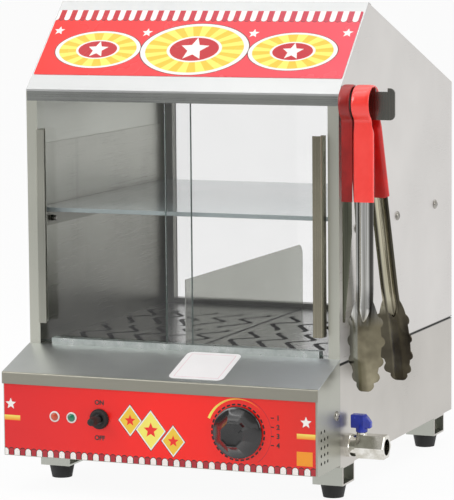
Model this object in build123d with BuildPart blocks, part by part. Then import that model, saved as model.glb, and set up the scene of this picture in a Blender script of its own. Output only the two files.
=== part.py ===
from build123d import *
import math
import os

os.makedirs("parts", exist_ok=True)

# Counter-top hot dog steamer: a water base with perforated steam trays under a
# glazed sheet-steel cabinet with a gable roof, two sliding doors, a control
# console in front, a drain valve and a tong hook on the right wall.
# Millimetres.  The frame's origin is on the floor under the middle of the whole
# object.  In the sizes below a height is counted up from the underside of the
# cabinet base and a depth back from the faces of the door posts.

# ---- place of the cabinet in the frame
cab_x = -30.5
front_y = -165.55

# ---- cabinet shell
cab_w = 394.0
cab_d = 417.0
sheet = 1.0
shell_h = 119.5
flange_w = 10.0
post_w = 13.5
liner_drop = 54.0
liner_front = 16.3
pan_sheet = 1.2
gap = 0.3

# ---- door opening, header and roof
sill_h = 5.8
sill_d = 15.5
opening_h = 290.0
header_h = 11.5
header_d = 16.0
eave_rise = 2.3
ridge_y = 102.6
ridge_rise = 100.8
rear_fall = 109.2
roof_fold = 12.0
roof_lap = 9.0
sign_margin = 15.5
sign_h = 105.0
sign_side = 2.0
film = 0.4

# ---- doors
pane_t = 4.0
pane_lap = 8.0
pane_inset = 12.0
pane_edge = 2.3
pane_clear = 3.0
groove_front = 4.5
groove_rear = 11.5
groove_depth = 8.5
track_side = 26.3
track_x = 1.2
track_d = 15.0
track_h = 7.4
track_floor = 2.0
pull_len = 231.0
pull_lift = 25.5
pull_depth = 15.6
pull_front = 10.8
pull_flange = 6.0
pull_t = 1.2
pull_right_in = 16.5
pull_left_in = 14.0

# ---- rear window
rear_frame_in = 15.0
window_side = 14.3
window_low = 9.6
window_drop = 16.2
rear_glass_t = 4.0
rear_glass_lap = 7.0

# ---- shelf
shelf_under = 162.6
shelf_t = 5.0
shelf_back = 4.0
shelf_front = 17.0
bracket_leg = 20.3
bracket_foot = 14.0
bracket_t = 1.0
screw_drop = 11.9
screw_front = 42.0
screw_back = 49.0
screw_d = 4.0
screw_head_d = 11.5
screw_head_h = 3.0
nut_af = 7.0
nut_h = 3.2

# ---- steam trays, rail, divider and water pan
tray_h = 2.7
tray_back = 2.0
tray_gap = 2.5
slot_w = 7.0
slot_len = 118.0
slot_sway = 22.0
slot_hook = 9.0
slot_turn = 9.0
slot_mid = 3.0
slot_bend = 8.0
slot_pitch = 36.7
slot_shift = 2.4
slot_rows = (125.5, 265.0)
rail_top_w = 14.0
rail_slot = 1.6
rail_depth = 9.0
divider_t = 1.0
divider_h = 84.6
divider_round = 14.0
pan_w = 360.0
pan_front = 21.2
pan_back = 22.0
pan_depth = 44.5
pan_round = 14.0
rim_edge = 1.5

# ---- heating element and level of the parts in the water
element_d = 8.0
element_rise = 14.0
element_xs = (-120.0, -40.0, 40.0, 120.0)
element_in = 67.0
element_front = 70.0
element_bend = 30.0
element_nut_af = 15.0
element_nut_h = 5.0

# ---- console
console_d = 72.5
console_low = 3.3
lip_y = 74.5
lip_top = 102.4
lip_h = 13.6
top_t = 1.2
top_over = 1.0
panel_cut = 0.7
overlay_w = 390.5
overlay_x = -0.75
overlay_h = 84.5
overlay_lift = 0.7
label_w = 68.0
label_l = 68.0
label_x = 44.0
label_t = 0.3
label_round = 8.0
tab_h = 25.0
tab_l = 20.0
tab_mid = 62.5
console_screw_y = 10.0
vent_d = 4.0
vent_xs = (60.9, 50.0, 40.0)
vent_low = 15.9
vent_pitch = 9.0

# ---- controls on the console panel
knob_x = 100.5
knob_z = 48.5
knob_r = 30.0
knob_skirt = 4.5
knob_out = 21.0
grip_r = 26.5
grip_face_r = 14.8
pointer_r = 12.2
pointer_l = 9.6
pointer_w = 6.0
pointer_rise = 0.6
grip_facets = 8
knob_turn = 45.0
shaft_d = 6.0
thermostat_w = 38.0
thermostat_d = 22.0
bushing_l = 4.0
bulb_x = 85.0
bulb_d = 6.5
bulb_len = 90.0
capillary_d = 2.4
lamp_xs = (-130.3, -108.5)
lamp_z = 53.0
lamp_ring_r = 6.5
lamp_ring_h = 1.6
lamp_lens_r = 4.5
lamp_lens_out = 3.0
lamp_body_r = 4.6
lamp_body_l = 20.0
switch_x = -72.8
switch_z = 53.6
switch_collar_r = 12.0
switch_collar_h = 5.0
bushing_r = 6.0
switch_box_w = 20.0
switch_box_h = 26.0
switch_box_d = 24.0
lever_len = 27.0
lever_seat = 1.5
bushing_wall = 2.0
lever_root_r = 3.6
lever_tip_r = 4.6

# ---- feet
foot_h = 16.5
foot_top_r = 15.4
foot_low_r = 12.1
foot_recess_r = 6.5
foot_recess_h = 5.0
foot_bolt_d = 5.0
tube_h = 23.0
tube_len = 37.5
tube_d = 38.5
tube_wall = 2.0
tube_front = 28.75
tube_back = 51.5
tube_inset_left = 7.0
tube_inset_right = 0.0

# ---- drain
valve_y = 28.0
valve_z = 22.5
fitting_af = 25.0
fitting_len = 5.5
fitting_thread_r = 8.5
valve_af = 27.0
valve_round_r = 13.0
valve_round_len = 7.4
valve_len = 41.7
valve_bore_r = 6.0
outlet_r = 9.5
outlet_len = 14.5
ball_r = 8.8
ball_bore_r = 5.0
stem_r = 3.0
stem_x = 16.7
boss_r = 6.0
boss_h = 2.4
handle_w = 24.0
handle_t = 9.0
handle_h = 20.5
drain_in = 37.0
drain_r = 7.0
drain_wall = 1.2
drain_bend = 16.0

# ---- cable inlet at the back of the base
gland_in = 57.0
gland_z = 34.0
gland_bore_r = 4.5
gland_thread_r = 8.0
gland_af = 22.0
gland_out = 14.0

# ---- tong hook and the two pairs of tongs
loop_y = 10.0
loop_rise = 3.3
hook_t = 2.0
hook_len = 64.0
hook_h = 36.1
hook_dip = 4.0
hook_nib_w = 8.6
hook_foot = 15.0
hook_play = 0.6
band_t = 1.2
sleeve_t = 1.0
loop_r = 19.5
front_offset = 8.6
rear_offset = 13.3
neck_r = 8.0
outer_splay = 18.0
inner_splay = 9.0
loop_end = 185.0
root_end = 12.0
front_reach = 331.0
rear_reach = 357.0
front_sleeve = 112.0
rear_sleeve = 120.5
arm_start = 100.0
arm_sag = 4.5
head_sag = 6.0
head_len = 118.0
head_flare = 26.0
lobe_r = 7.0
lobes = 14
plain_lobes = 2
outer_mid = 28.7
outer_band = 19.0
outer_sleeve_w = 24.0
outer_head = 45.0
inner_clear = 2.6
inner_band = 11.0
inner_tip = 2.0
inner_shoulder = 150.0
inner_short = 80.0

# ---- heights and edges that follow from these sizes
base_z = foot_h + tube_h
half_w = cab_w / 2
sign_w = cab_w - 2 * sign_side
pane_w = half_w + pane_lap
track_w = cab_w - 2 * track_side
pull_right = half_w - pull_right_in
pull_left = half_w - pull_left_in
drain_x = half_w - drain_in
gland_x = gland_in - half_w
wall_in = half_w - sheet
liner_in = wall_in - sheet
rim_z = shell_h + pan_sheet
ledge_z = rim_z + sheet
tray_z = ledge_z + tray_h
sill_z = rim_z + sill_h
header_z = sill_z + opening_h
header_top = header_z + header_h
liner_top = header_z - liner_drop
loop_z = header_z + loop_rise
rear_frame_y = cab_d - rear_frame_in
shelf_d = rear_frame_y - shelf_back - shelf_front
tray_d = rear_frame_y - tray_back - liner_front
pan_d = cab_d - pan_back - pan_front
element_back = cab_d - element_in
tube_ys = (tube_front, cab_d - tube_back)
screw_first = shelf_front + screw_front
screw_last = shelf_front + shelf_d - screw_back
screw_ys = (screw_first, (screw_first + screw_last) / 2, screw_last)
eave_z = header_top + eave_rise
ridge_z = eave_z + ridge_rise
rear_eave_z = ridge_z - rear_fall
groove_w = pane_t + 2 * gap
pane_z = sill_z + track_floor + gap
pane_top = header_z + groove_depth - pane_clear
hook_top = loop_z + loop_r - band_t / 2 - sleeve_t - hook_play
root_r = loop_r - band_t - 2 * sleeve_t - gap
outer_x = half_w + outer_mid
inner_x = half_w + inner_clear + inner_band / 2 + sleeve_t
front_pitch = math.atan2(ridge_rise, ridge_y)
rear_pitch = math.atan2(rear_fall, cab_d - ridge_y)
console_pitch = math.atan2(sill_z - lip_top, lip_y)
shelf_z = ledge_z + shelf_under - sheet
pan_floor = rim_z - pan_depth
water_z = pan_floor + element_rise
panel_y = -console_d
overlay_y = panel_y - film
screw_z = shelf_z - screw_drop


def level(z):
    """Horizontal plane at height z: local x to the right, local y to the back."""
    return Plane(origin=(cab_x, front_y, base_z + z), x_dir=(1, 0, 0), z_dir=(0, 0, 1))


def upright(y):
    """Plane across the cabinet at depth y: local x right, local y up, facing front."""
    return Plane(origin=(cab_x, front_y + y, base_z), x_dir=(1, 0, 0), z_dir=(0, -1, 0))


def side(x):
    """Plane along the cabinet at x: local x to the back, local y up, facing right."""
    return Plane(origin=(cab_x + x, front_y, base_z), x_dir=(0, 1, 0), z_dir=(1, 0, 0))


def block(x0, x1, y0, y1, z0, z1, mode=Mode.ADD):
    """A box between two corners, in a part that is built on level(0)."""
    with Locations(((x0 + x1) / 2, (y0 + y1) / 2, (z0 + z1) / 2)):
        Box(x1 - x0, y1 - y0, z1 - z0, mode=mode)


def outline(*points):
    """A face inside a closed line through the points."""
    with BuildLine() as border:
        Polyline(*points, close=True)
    make_face(border.edges())


def gable(front_drop, rear_drop):
    """Front eave, ridge and rear eave of the roof line, let down square to it."""
    front = eave_z - front_drop / math.cos(front_pitch)
    rear = rear_eave_z - rear_drop / math.cos(rear_pitch)
    front_t = math.tan(front_pitch)
    rear_t = math.tan(rear_pitch)
    y = (rear - front + cab_d * rear_t) / (front_t + rear_t)
    return (0, front), (y, front + y * front_t), (cab_d, rear)


mid = Plane(origin=(cab_x, 0, 0), z_dir=(1, 0, 0))

# =====================================================================
# Base
# =====================================================================

# Lower shell: floor and four walls, welded at the edges.  Each wall is folded
# inwards at the top, and the front wall has two tabs for the console.
wall_top = shell_h - sheet
shell_walls = []
with BuildPart(level(0)) as shell_floor:
    block(-half_w, half_w, 0, cab_d, 0, sheet)
shell_walls.append(shell_floor.part.solid())
for s in (-1, 1):
    with BuildPart(level(0)) as shell_side:
        for x, y0, z0 in ((half_w, 0, sheet), (wall_in, flange_w, wall_top)):
            inner = wall_in if z0 == sheet else half_w - flange_w
            block(min(s * x, s * inner), max(s * x, s * inner), y0, cab_d - y0, z0, shell_h)
        with BuildSketch(side(wall_in)):
            with Locations((valve_y, valve_z)):
                Circle(fitting_thread_r + gap)
        extrude(amount=sheet, mode=Mode.SUBTRACT)
    shell_walls.append(shell_side.part.solid())
with BuildPart(level(0)) as shell_front:
    block(-wall_in, wall_in, 0, sheet, sheet, shell_h)
    block(-wall_in, wall_in, sheet, flange_w, wall_top, shell_h)
    for s in (-1, 1):
        tab_x = s * (wall_in - sheet / 2)
        block(tab_x - sheet / 2, tab_x + sheet / 2, -tab_l, 0,
              tab_mid - tab_h / 2, tab_mid + tab_h / 2)
    with BuildSketch(side(-half_w)):
        with Locations((-console_screw_y, tab_mid)):
            Circle(screw_d / 2 + gap / 2)
    extrude(amount=cab_w, mode=Mode.SUBTRACT)
    with BuildSketch(upright(sheet)):
        with Locations((switch_x, switch_z)):
            Circle(switch_box_w / 2)
        with Locations((bulb_x, water_z)):
            Circle(capillary_d + gap)
    extrude(amount=sheet, mode=Mode.SUBTRACT)
shell_walls.append(shell_front.part.solid())
with BuildPart(level(0)) as shell_rear:
    block(-wall_in, wall_in, cab_d - sheet, cab_d, sheet, shell_h)
    block(-wall_in, wall_in, cab_d - flange_w, cab_d - sheet, wall_top, shell_h)
    with BuildSketch(upright(cab_d)):
        with Locations((gland_x, gland_z)):
            Circle(gland_thread_r + gap)
    extrude(amount=sheet, mode=Mode.SUBTRACT)
shell_walls.append(shell_rear.part.solid())
base_shell = Compound(shell_walls)
base_shell.label = "base_shell"
export_step(base_shell, "parts/base_shell.step")

# Water pan: deep drawn, hung by its rim between the shell and the cabinet walls.
pan_mid = pan_front + pan_d / 2
rim_d = cab_d - 2 * rim_edge
with BuildPart() as water_pan:
    with BuildSketch(level(pan_floor - pan_sheet)):
        with Locations((0, pan_mid)):
            RectangleRounded(pan_w + 2 * pan_sheet, pan_d + 2 * pan_sheet, pan_round + pan_sheet)
    extrude(amount=pan_depth + pan_sheet)
    with BuildSketch(level(shell_h)):
        with Locations((0, cab_d / 2)):
            Rectangle(cab_w - 2 * rim_edge, rim_d)
    extrude(amount=pan_sheet)
    with BuildSketch(level(pan_floor)):
        with Locations((0, pan_mid)):
            RectangleRounded(pan_w, pan_d, pan_round)
    extrude(amount=pan_depth, mode=Mode.SUBTRACT)
    with BuildSketch(upright(pan_front)):
        with Locations((element_xs[0], water_z), (element_xs[-1], water_z)):
            Circle(element_d / 2 + gap)
        with Locations((bulb_x, water_z)):
            Circle(capillary_d / 2 + gap)
    extrude(amount=pan_sheet, mode=Mode.SUBTRACT)
    with BuildSketch(level(pan_floor)):
        with Locations((drain_x, valve_y)):
            Circle(drain_r - drain_wall)
    extrude(amount=-pan_sheet, mode=Mode.SUBTRACT)
water_pan.part.label = "water_pan"
export_step(water_pan.part, "parts/water_pan.step")

# Tubular heater: one rod bent into a flat W, held at both ends in the pan's wall.
with BuildPart() as heating_element:
    with BuildLine(level(water_z)) as element_path:
        FilletPolyline(
            (element_xs[0], element_nut_h),
            (element_xs[0], element_back),
            (element_xs[1], element_back),
            (element_xs[1], element_front),
            (element_xs[2], element_front),
            (element_xs[2], element_back),
            (element_xs[3], element_back),
            (element_xs[3], element_nut_h),
            radius=element_bend,
        )
    with BuildSketch(upright(element_nut_h)):
        with Locations((element_xs[0], water_z)):
            Circle(element_d / 2)
    sweep(path=element_path.line)
heating_element.part.label = "heating_element"
export_step(heating_element.part, "parts/heating_element.step")

with BuildPart() as element_nuts:
    with BuildSketch(upright(pan_front - pan_sheet)):
        with Locations((element_xs[0], water_z), (element_xs[-1], water_z)):
            RegularPolygon(element_nut_af / 2, 6, major_radius=False)
            Circle(element_d / 2, mode=Mode.SUBTRACT)
    extrude(amount=element_nut_h)
    with BuildSketch(upright(pan_front)):
        with Locations((element_xs[0], water_z), (element_xs[-1], water_z)):
            RegularPolygon(element_nut_af / 2, 6, major_radius=False)
            Circle(element_d / 2, mode=Mode.SUBTRACT)
    extrude(amount=-element_nut_h)
element_nuts.part.label = "element_nuts"
export_step(element_nuts.part, "parts/element_nuts.step")

# =====================================================================
# Feet
# =====================================================================

left_x = tube_inset_left + tube_len / 2 - half_w
right_x = half_w - tube_inset_right - tube_len / 2
foot_spots = [(x, y) for x in (left_x, right_x) for y in tube_ys]

# Short lengths of square tube under the base, open to the sides.
with BuildPart() as foot_brackets:
    for x, y in foot_spots:
        with BuildSketch(side(x - tube_len / 2)):
            with Locations((y, -tube_h / 2)):
                Rectangle(tube_d, tube_h)
                Rectangle(tube_d - 2 * tube_wall, tube_h - 2 * tube_wall, mode=Mode.SUBTRACT)
        extrude(amount=tube_len)
    with BuildSketch(level(-tube_h)):
        with Locations(*foot_spots):
            Circle(foot_bolt_d / 2 + gap / 2)
    extrude(amount=tube_wall, mode=Mode.SUBTRACT)
foot_brackets.part.label = "foot_brackets"
export_step(foot_brackets.part, "parts/foot_brackets.step")

with BuildPart(level(0)) as rubber_feet:
    with Locations(*[(x, y, -tube_h - foot_h / 2) for x, y in foot_spots]):
        Cone(foot_low_r, foot_top_r, foot_h)
    with BuildSketch(level(-tube_h - foot_h)):
        with Locations(*foot_spots):
            Circle(foot_recess_r)
    extrude(amount=foot_recess_h, mode=Mode.SUBTRACT)
    with BuildSketch(level(-tube_h)):
        with Locations(*foot_spots):
            Circle(foot_bolt_d / 2 + gap / 2)
    extrude(amount=-foot_h, mode=Mode.SUBTRACT)
rubber_feet.part.label = "rubber_feet"
export_step(rubber_feet.part, "parts/rubber_feet.step")

# Each foot is held by a screw from below and a nut inside the tube.
foot_nut_h = foot_bolt_d * 0.8
foot_head_h = foot_bolt_d * 0.6
bolt_low = -tube_h - foot_h + foot_recess_h
with BuildPart() as foot_bolts:
    with BuildSketch(level(bolt_low)):
        with Locations(*foot_spots):
            Circle(foot_recess_r - 4 * gap)
    extrude(amount=-foot_head_h)
    with BuildSketch(level(bolt_low)):
        with Locations(*foot_spots):
            Circle(foot_bolt_d / 2)
    extrude(amount=foot_h - foot_recess_h + tube_wall + foot_nut_h + sheet)
    with BuildSketch(level(tube_wall - tube_h)):
        with Locations(*foot_spots):
            RegularPolygon(foot_bolt_d * 0.8, 6, major_radius=False)
    extrude(amount=foot_nut_h)
foot_bolts.part.label = "foot_bolts"
export_step(foot_bolts.part, "parts/foot_bolts.step")

# =====================================================================
# Cabinet walls and roof
# =====================================================================

front_eave, ridge, rear_eave = gable(sheet, 2 * sheet)
inner_front = front_eave[1] + sheet * math.tan(front_pitch)

# Side wall with the door post and a bottom ledge folded from one sheet.
with BuildPart() as side_panel_right:
    with BuildSketch(side(wall_in)):
        outline(
            (0, rim_z),
            (cab_d, rim_z),
            rear_eave,
            ridge,
            (sheet, inner_front),
            (sheet, header_top + sheet),
            (roof_fold, header_top + sheet),
            (roof_fold, header_top),
            (0, header_top),
        )
    extrude(amount=sheet)
    with BuildSketch(level(rim_z)):
        with Locations((half_w - post_w / 2, sheet / 2)):
            Rectangle(post_w, sheet)
    extrude(amount=header_z - rim_z)
    with BuildSketch(level(rim_z)):
        with Locations((half_w - flange_w / 2, (cab_d - sheet) / 2)):
            Rectangle(flange_w, cab_d - sheet)
    extrude(amount=sheet)
    with BuildSketch(side(wall_in)):
        with Locations(*[(y, screw_z) for y in screw_ys]):
            Circle(screw_d / 2 + gap / 2)
    extrude(amount=sheet, mode=Mode.SUBTRACT)
side_panel_right.part.label = "side_panel_right"
export_step(side_panel_right.part, "parts/side_panel_right.step")

with BuildPart() as side_panel_left:
    mirror(side_panel_right.part, about=mid)
side_panel_left.part.label = "side_panel_left"
export_step(side_panel_left.part, "parts/side_panel_left.step")

# Inner liners: plain sheets against the side walls, up to a seam under the eaves.
with BuildPart(level(0)) as inner_liners:
    for s in (-1, 1):
        x = s * (wall_in - sheet / 2)
        block(x - sheet / 2, x + sheet / 2, liner_front, rear_frame_y,
              ledge_z, liner_top)
    with BuildSketch(side(-wall_in)):
        with Locations(*[(y, screw_z) for y in screw_ys]):
            Circle(screw_d / 2 + gap / 2)
    extrude(amount=2 * wall_in, mode=Mode.SUBTRACT)
inner_liners.part.label = "inner_liners"
export_step(inner_liners.part, "parts/inner_liners.step")

# Roof: the front sheet folds under at the eave and laps over the ridge.
_, ridge_out, _ = gable(0, 0)
_, ridge_in, _ = gable(sheet, sheet)
lap = (ridge_out[0] + roof_lap * math.cos(rear_pitch), ridge_out[1] - roof_lap * math.sin(rear_pitch))
lap_in = (lap[0] - sheet * math.sin(rear_pitch), lap[1] - sheet * math.cos(rear_pitch))
with BuildPart() as roof_front_panel:
    with BuildSketch(side(-half_w)):
        outline(
            (0, eave_z),
            ridge_out,
            lap,
            lap_in,
            ridge_in,
            (sheet, inner_front),
            (sheet, header_top + sheet),
            (roof_fold, header_top + sheet),
            (roof_fold, header_top),
            (0, header_top),
        )
    extrude(amount=cab_w)
roof_front_panel.part.label = "roof_front_panel"
export_step(roof_front_panel.part, "parts/roof_front_panel.step")

rear_top = gable(0, sheet)[2]
rear_under = gable(0, 2 * sheet)[2]
ridge_under = (ridge_in[0], ridge_in[1] - sheet / math.cos(rear_pitch))
with BuildPart() as roof_rear_panel:
    with BuildSketch(side(-half_w)):
        outline(ridge_in, rear_top, rear_under, ridge_under)
    extrude(amount=cab_w)
roof_rear_panel.part.label = "roof_rear_panel"
export_step(roof_rear_panel.part, "parts/roof_rear_panel.step")

# Printed film on the front slope.
slope = Plane(
    origin=(cab_x, front_y + ridge_out[0], base_z + ridge_out[1]),
    x_dir=(1, 0, 0),
    z_dir=(0, -math.sin(front_pitch), math.cos(front_pitch)),
)
with BuildPart() as sign_overlay:
    with BuildSketch(slope):
        with Locations((0, -sign_margin - sign_h / 2)):
            RectangleRounded(sign_w, sign_h, 2 * sheet)
    extrude(amount=film)
sign_overlay.part.label = "sign_overlay"
export_step(sign_overlay.part, "parts/sign_overlay.step")

# Header with the two upper door grooves.
with BuildPart(level(0)) as header_rail:
    block(-wall_in, wall_in, 0, header_d, header_z, header_top)
    for y in (groove_front, groove_rear):
        block(-wall_in, wall_in, y - groove_w / 2, y + groove_w / 2,
              header_z, header_z + groove_depth, Mode.SUBTRACT)
header_rail.part.label = "header_rail"
export_step(header_rail.part, "parts/header_rail.step")

# Sill: an upturned channel on the pan's rim, between the posts.
sill_half = half_w - post_w
with BuildPart(level(0)) as front_sill:
    block(-sill_half, sill_half, 0, sill_d, rim_z, sill_z)
    block(-sill_half, sill_half, sheet, sill_d - sheet, rim_z, sill_z - sheet, Mode.SUBTRACT)
front_sill.part.label = "front_sill"
export_step(front_sill.part, "parts/front_sill.step")

# =====================================================================
# Rear wall and window
# =====================================================================

win_low = ledge_z + window_low - sheet
win_high = header_z - window_drop
win_half = half_w - window_side
roof_slope = math.tan(rear_pitch)


def roof_under(y):
    """Height of the rear roof sheet's underside at depth y."""
    return rear_under[1] + (cab_d - y) * roof_slope


ledge_half = half_w - flange_w - gap
with BuildPart(level(0)) as rear_panel:
    block(-wall_in, wall_in, cab_d - sheet, cab_d, rim_z, roof_under(cab_d))
    block(-ledge_half, ledge_half, cab_d - flange_w, cab_d, rim_z, ledge_z)
    block(-win_half, win_half, cab_d - 2 * sheet, cab_d + sheet, win_low, win_high, Mode.SUBTRACT)
rear_panel.part.label = "rear_panel"
export_step(rear_panel.part, "parts/rear_panel.step")

# Inner frame with a reveal that presses the pane against the rear sheet.
frame_top = roof_under(rear_frame_y + sheet)
rear_glass_y = cab_d - sheet - rear_glass_t
with BuildPart(level(0)) as rear_window_frame:
    block(-wall_in, wall_in, rear_frame_y, rear_frame_y + sheet, ledge_z, frame_top)
    block(-win_half - sheet, win_half + sheet, rear_frame_y, rear_glass_y,
          win_low - sheet, win_high + sheet)
    block(-win_half, win_half, rear_frame_y - sheet, cab_d, win_low, win_high, Mode.SUBTRACT)
rear_window_frame.part.label = "rear_window_frame"
export_step(rear_window_frame.part, "parts/rear_window_frame.step")

with BuildPart(level(0)) as rear_glass:
    block(-win_half - rear_glass_lap, win_half + rear_glass_lap, rear_glass_y, cab_d - sheet,
          win_low - rear_glass_lap, win_high + rear_glass_lap)
rear_glass.part.label = "rear_glass"
export_step(rear_glass.part, "parts/rear_glass.step")

# =====================================================================
# Sliding doors
# =====================================================================

# Lower track: an extruded strip with two grooves and rounded ends.
with BuildPart(level(0)) as door_track:
    track_x0 = track_x - track_w / 2
    track_y0 = (groove_front + groove_rear - track_d) / 2
    block(track_x0, track_x0 + track_w, track_y0, track_y0 + track_d, sill_z, sill_z + track_h)
    fillet(door_track.edges().filter_by(Axis.Z), radius=2 * sheet)
    for y in (groove_front, groove_rear):
        block(track_x0, track_x0 + track_w, y - groove_w / 2, y + groove_w / 2,
              sill_z + track_floor, sill_z + track_h, Mode.SUBTRACT)
door_track.part.label = "door_track"
export_step(door_track.part, "parts/door_track.step")

# The right pane runs in the front grooves, the left one in the rear grooves.
right_x1 = half_w - pane_inset
left_x0 = pane_edge - half_w
with BuildPart(level(0)) as door_glass_right:
    block(right_x1 - pane_w, right_x1, groove_front - pane_t / 2, groove_front + pane_t / 2,
          pane_z, pane_top)
    fillet(door_glass_right.edges().filter_by(Axis.Y), radius=2 * sheet)
door_glass_right.part.label = "door_glass_right"
export_step(door_glass_right.part, "parts/door_glass_right.step")

with BuildPart(level(0)) as door_glass_left:
    block(left_x0, left_x0 + pane_w, groove_rear - pane_t / 2, groove_rear + pane_t / 2,
          pane_z, pane_top)
    fillet(door_glass_left.edges().filter_by(Axis.Y), radius=2 * sheet)
door_glass_left.part.label = "door_glass_left"
export_step(door_glass_left.part, "parts/door_glass_left.step")

# Pulls: channels bent from strip, glued to the panes and open towards the middle.
pull_z = sill_z + pull_lift
for name, s, pull_out, y in (
    ("door_handle_right", 1, pull_right, groove_front - pane_t / 2),
    ("door_handle_left", -1, pull_left, groove_rear - pane_t / 2),
):
    with BuildPart() as door_handle:
        with BuildSketch(level(pull_z)) as pull_section:
            outline(
                (s * (pull_out - pull_flange), y),
                (s * pull_out, y),
                (s * pull_out, y - pull_depth),
                (s * (pull_out - pull_front), y - pull_depth),
                (s * (pull_out - pull_front), y - pull_depth + pull_t),
                (s * (pull_out - pull_t), y - pull_depth + pull_t),
                (s * (pull_out - pull_t), y - pull_t),
                (s * (pull_out - pull_flange), y - pull_t),
            )
            corners = pull_section.vertices().sort_by(Axis.Y)
            front_corners = corners[:4].sort_by(Axis.X)
            bend = front_corners[-2:] if s > 0 else front_corners[:2]
            outer = bend.sort_by(Axis.Y)[0]
            fillet(outer, radius=1.5 * pull_t)
        extrude(amount=pull_len)
    door_handle.part.label = name
    export_step(door_handle.part, f"parts/{name}.step")

# =====================================================================
# Shelf
# =====================================================================

with BuildPart(level(0)) as shelf_brackets:
    for s in (-1, 1):
        x0 = s * liner_in
        x1 = s * (liner_in - bracket_t)
        x2 = s * (liner_in - bracket_foot)
        block(min(x0, x1), max(x0, x1), shelf_front, shelf_front + shelf_d,
              shelf_z - bracket_leg, shelf_z)
        block(min(x0, x2), max(x0, x2), shelf_front, shelf_front + shelf_d,
              shelf_z - bracket_t, shelf_z)
    with BuildSketch(side(-liner_in)):
        with Locations(*[(y, screw_z) for y in screw_ys]):
            Circle(screw_d / 2 + gap / 2)
    extrude(amount=2 * liner_in, mode=Mode.SUBTRACT)
shelf_brackets.part.label = "shelf_brackets"
export_step(shelf_brackets.part, "parts/shelf_brackets.step")

with BuildPart(level(0)) as glass_shelf:
    shelf_half = liner_in - gap - gap
    block(-shelf_half, shelf_half, shelf_front, shelf_front + shelf_d, shelf_z, shelf_z + shelf_t)
    chamfer(glass_shelf.edges(), length=gap)
glass_shelf.part.label = "glass_shelf"
export_step(glass_shelf.part, "parts/glass_shelf.step")

# Dome screws: through wall, liner and bracket into cap nuts, and through the
# console's sides into the tabs of the base.
nut_x = liner_in - bracket_t
shelf_spots = [(y, screw_z) for y in screw_ys]
console_spot = (-console_screw_y, tab_mid)
with BuildPart() as dome_screws:
    for s in (-1, 1):
        with BuildSketch(side(s * half_w)):
            with Locations(*shelf_spots, console_spot):
                Circle(screw_head_d / 2)
        extrude(amount=s * screw_head_h)
    along = dome_screws.edges().group_by(Axis.X)
    fillet(along[0] + along[-1], radius=0.85 * screw_head_h)
    for s in (-1, 1):
        with BuildSketch(side(s * half_w)):
            with Locations(*shelf_spots):
                Circle(screw_d / 2)
        extrude(amount=-s * (half_w - nut_x + nut_h))
        with BuildSketch(side(s * half_w)):
            with Locations(console_spot):
                Circle(screw_d / 2)
        extrude(amount=-s * (2 * sheet + nut_h))
dome_screws.part.label = "dome_screws"
export_step(dome_screws.part, "parts/dome_screws.step")

# Cap nuts inside the cabinet.
with BuildPart() as shelf_nuts:
    for s in (-1, 1):
        with BuildSketch(side(s * nut_x)):
            with Locations(*shelf_spots):
                RegularPolygon(nut_af / 2, 6, major_radius=False)
        extrude(amount=-s * nut_h)
        with BuildSketch(side(s * nut_x)):
            with Locations(*[(y, screw_z) for y in screw_ys]):
                Circle(nut_af / 2 - gap)
        extrude(amount=-s * 2 * nut_h)
    fillet(
        shelf_nuts.edges().filter_by(GeomType.CIRCLE).group_by(SortBy.RADIUS)[-1]
        .filter_by(lambda e: abs(abs(e.center().X - cab_x) - (nut_x - 2 * nut_h)) < gap),
        radius=nut_af / 4,
    )
    for s in (-1, 1):
        with BuildSketch(side(s * nut_x)):
            with Locations(*[(y, screw_z) for y in screw_ys]):
                Circle(screw_d / 2)
        extrude(amount=-s * (nut_h + gap), mode=Mode.SUBTRACT)
shelf_nuts.part.label = "shelf_nuts"
export_step(shelf_nuts.part, "parts/shelf_nuts.step")

# =====================================================================
# Steam trays, their middle rail and the divider
# =====================================================================

# One wavy steam slot: a long stroke, a short return and another long stroke.
with BuildSketch() as wave_slot:
    with BuildLine():
        FilletPolyline(
            (-slot_sway / 2, slot_len / 2),
            (-slot_sway / 2, slot_len / 2 - slot_hook),
            (slot_sway / 2, slot_mid + 2 * slot_turn),
            (slot_sway / 2, slot_mid + slot_turn),
            (-slot_sway / 2, slot_mid - slot_turn),
            (-slot_sway / 2, slot_mid - 2 * slot_turn),
            (slot_sway / 2, slot_hook - slot_len / 2),
            (slot_sway / 2, -slot_len / 2),
            radius=slot_bend,
        )
    trace(line_width=slot_w)
    with Locations((-slot_sway / 2, slot_len / 2), (slot_sway / 2, -slot_len / 2)):
        Circle(slot_w / 2)

tray_out = liner_in - 2 * gap
tray_mid = (tray_gap + tray_out) / 2
slot_spots = [(tray_mid + slot_shift + slot_pitch * i, y) for i in (-2, -1, 0, 1, 2) for y in slot_rows]
with BuildPart(level(0)) as steam_tray_right:
    block(tray_gap, tray_out, liner_front, liner_front + tray_d, ledge_z, tray_z)
    block(tray_gap + sheet, tray_out - sheet, liner_front + sheet, liner_front + tray_d - sheet,
          ledge_z - sheet, tray_z - sheet, Mode.SUBTRACT)
    with BuildSketch(level(tray_z)):
        with Locations(*slot_spots):
            add(wave_slot.sketch)
    extrude(amount=-sheet, mode=Mode.SUBTRACT)
steam_tray_right.part.label = "steam_tray_right"
export_step(steam_tray_right.part, "parts/steam_tray_right.step")

with BuildPart(level(0)) as steam_tray_left:
    block(-tray_out, -tray_gap, liner_front, liner_front + tray_d, ledge_z, tray_z)
    block(sheet - tray_out, -tray_gap - sheet, liner_front + sheet,
          liner_front + tray_d - sheet, ledge_z - sheet, tray_z - sheet, Mode.SUBTRACT)
    with BuildSketch(level(tray_z)):
        with Locations(*[(x - tray_gap - tray_out, y) for x, y in slot_spots]):
            add(wave_slot.sketch)
    extrude(amount=-sheet, mode=Mode.SUBTRACT)
steam_tray_left.part.label = "steam_tray_left"
export_step(steam_tray_left.part, "parts/steam_tray_left.step")

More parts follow.
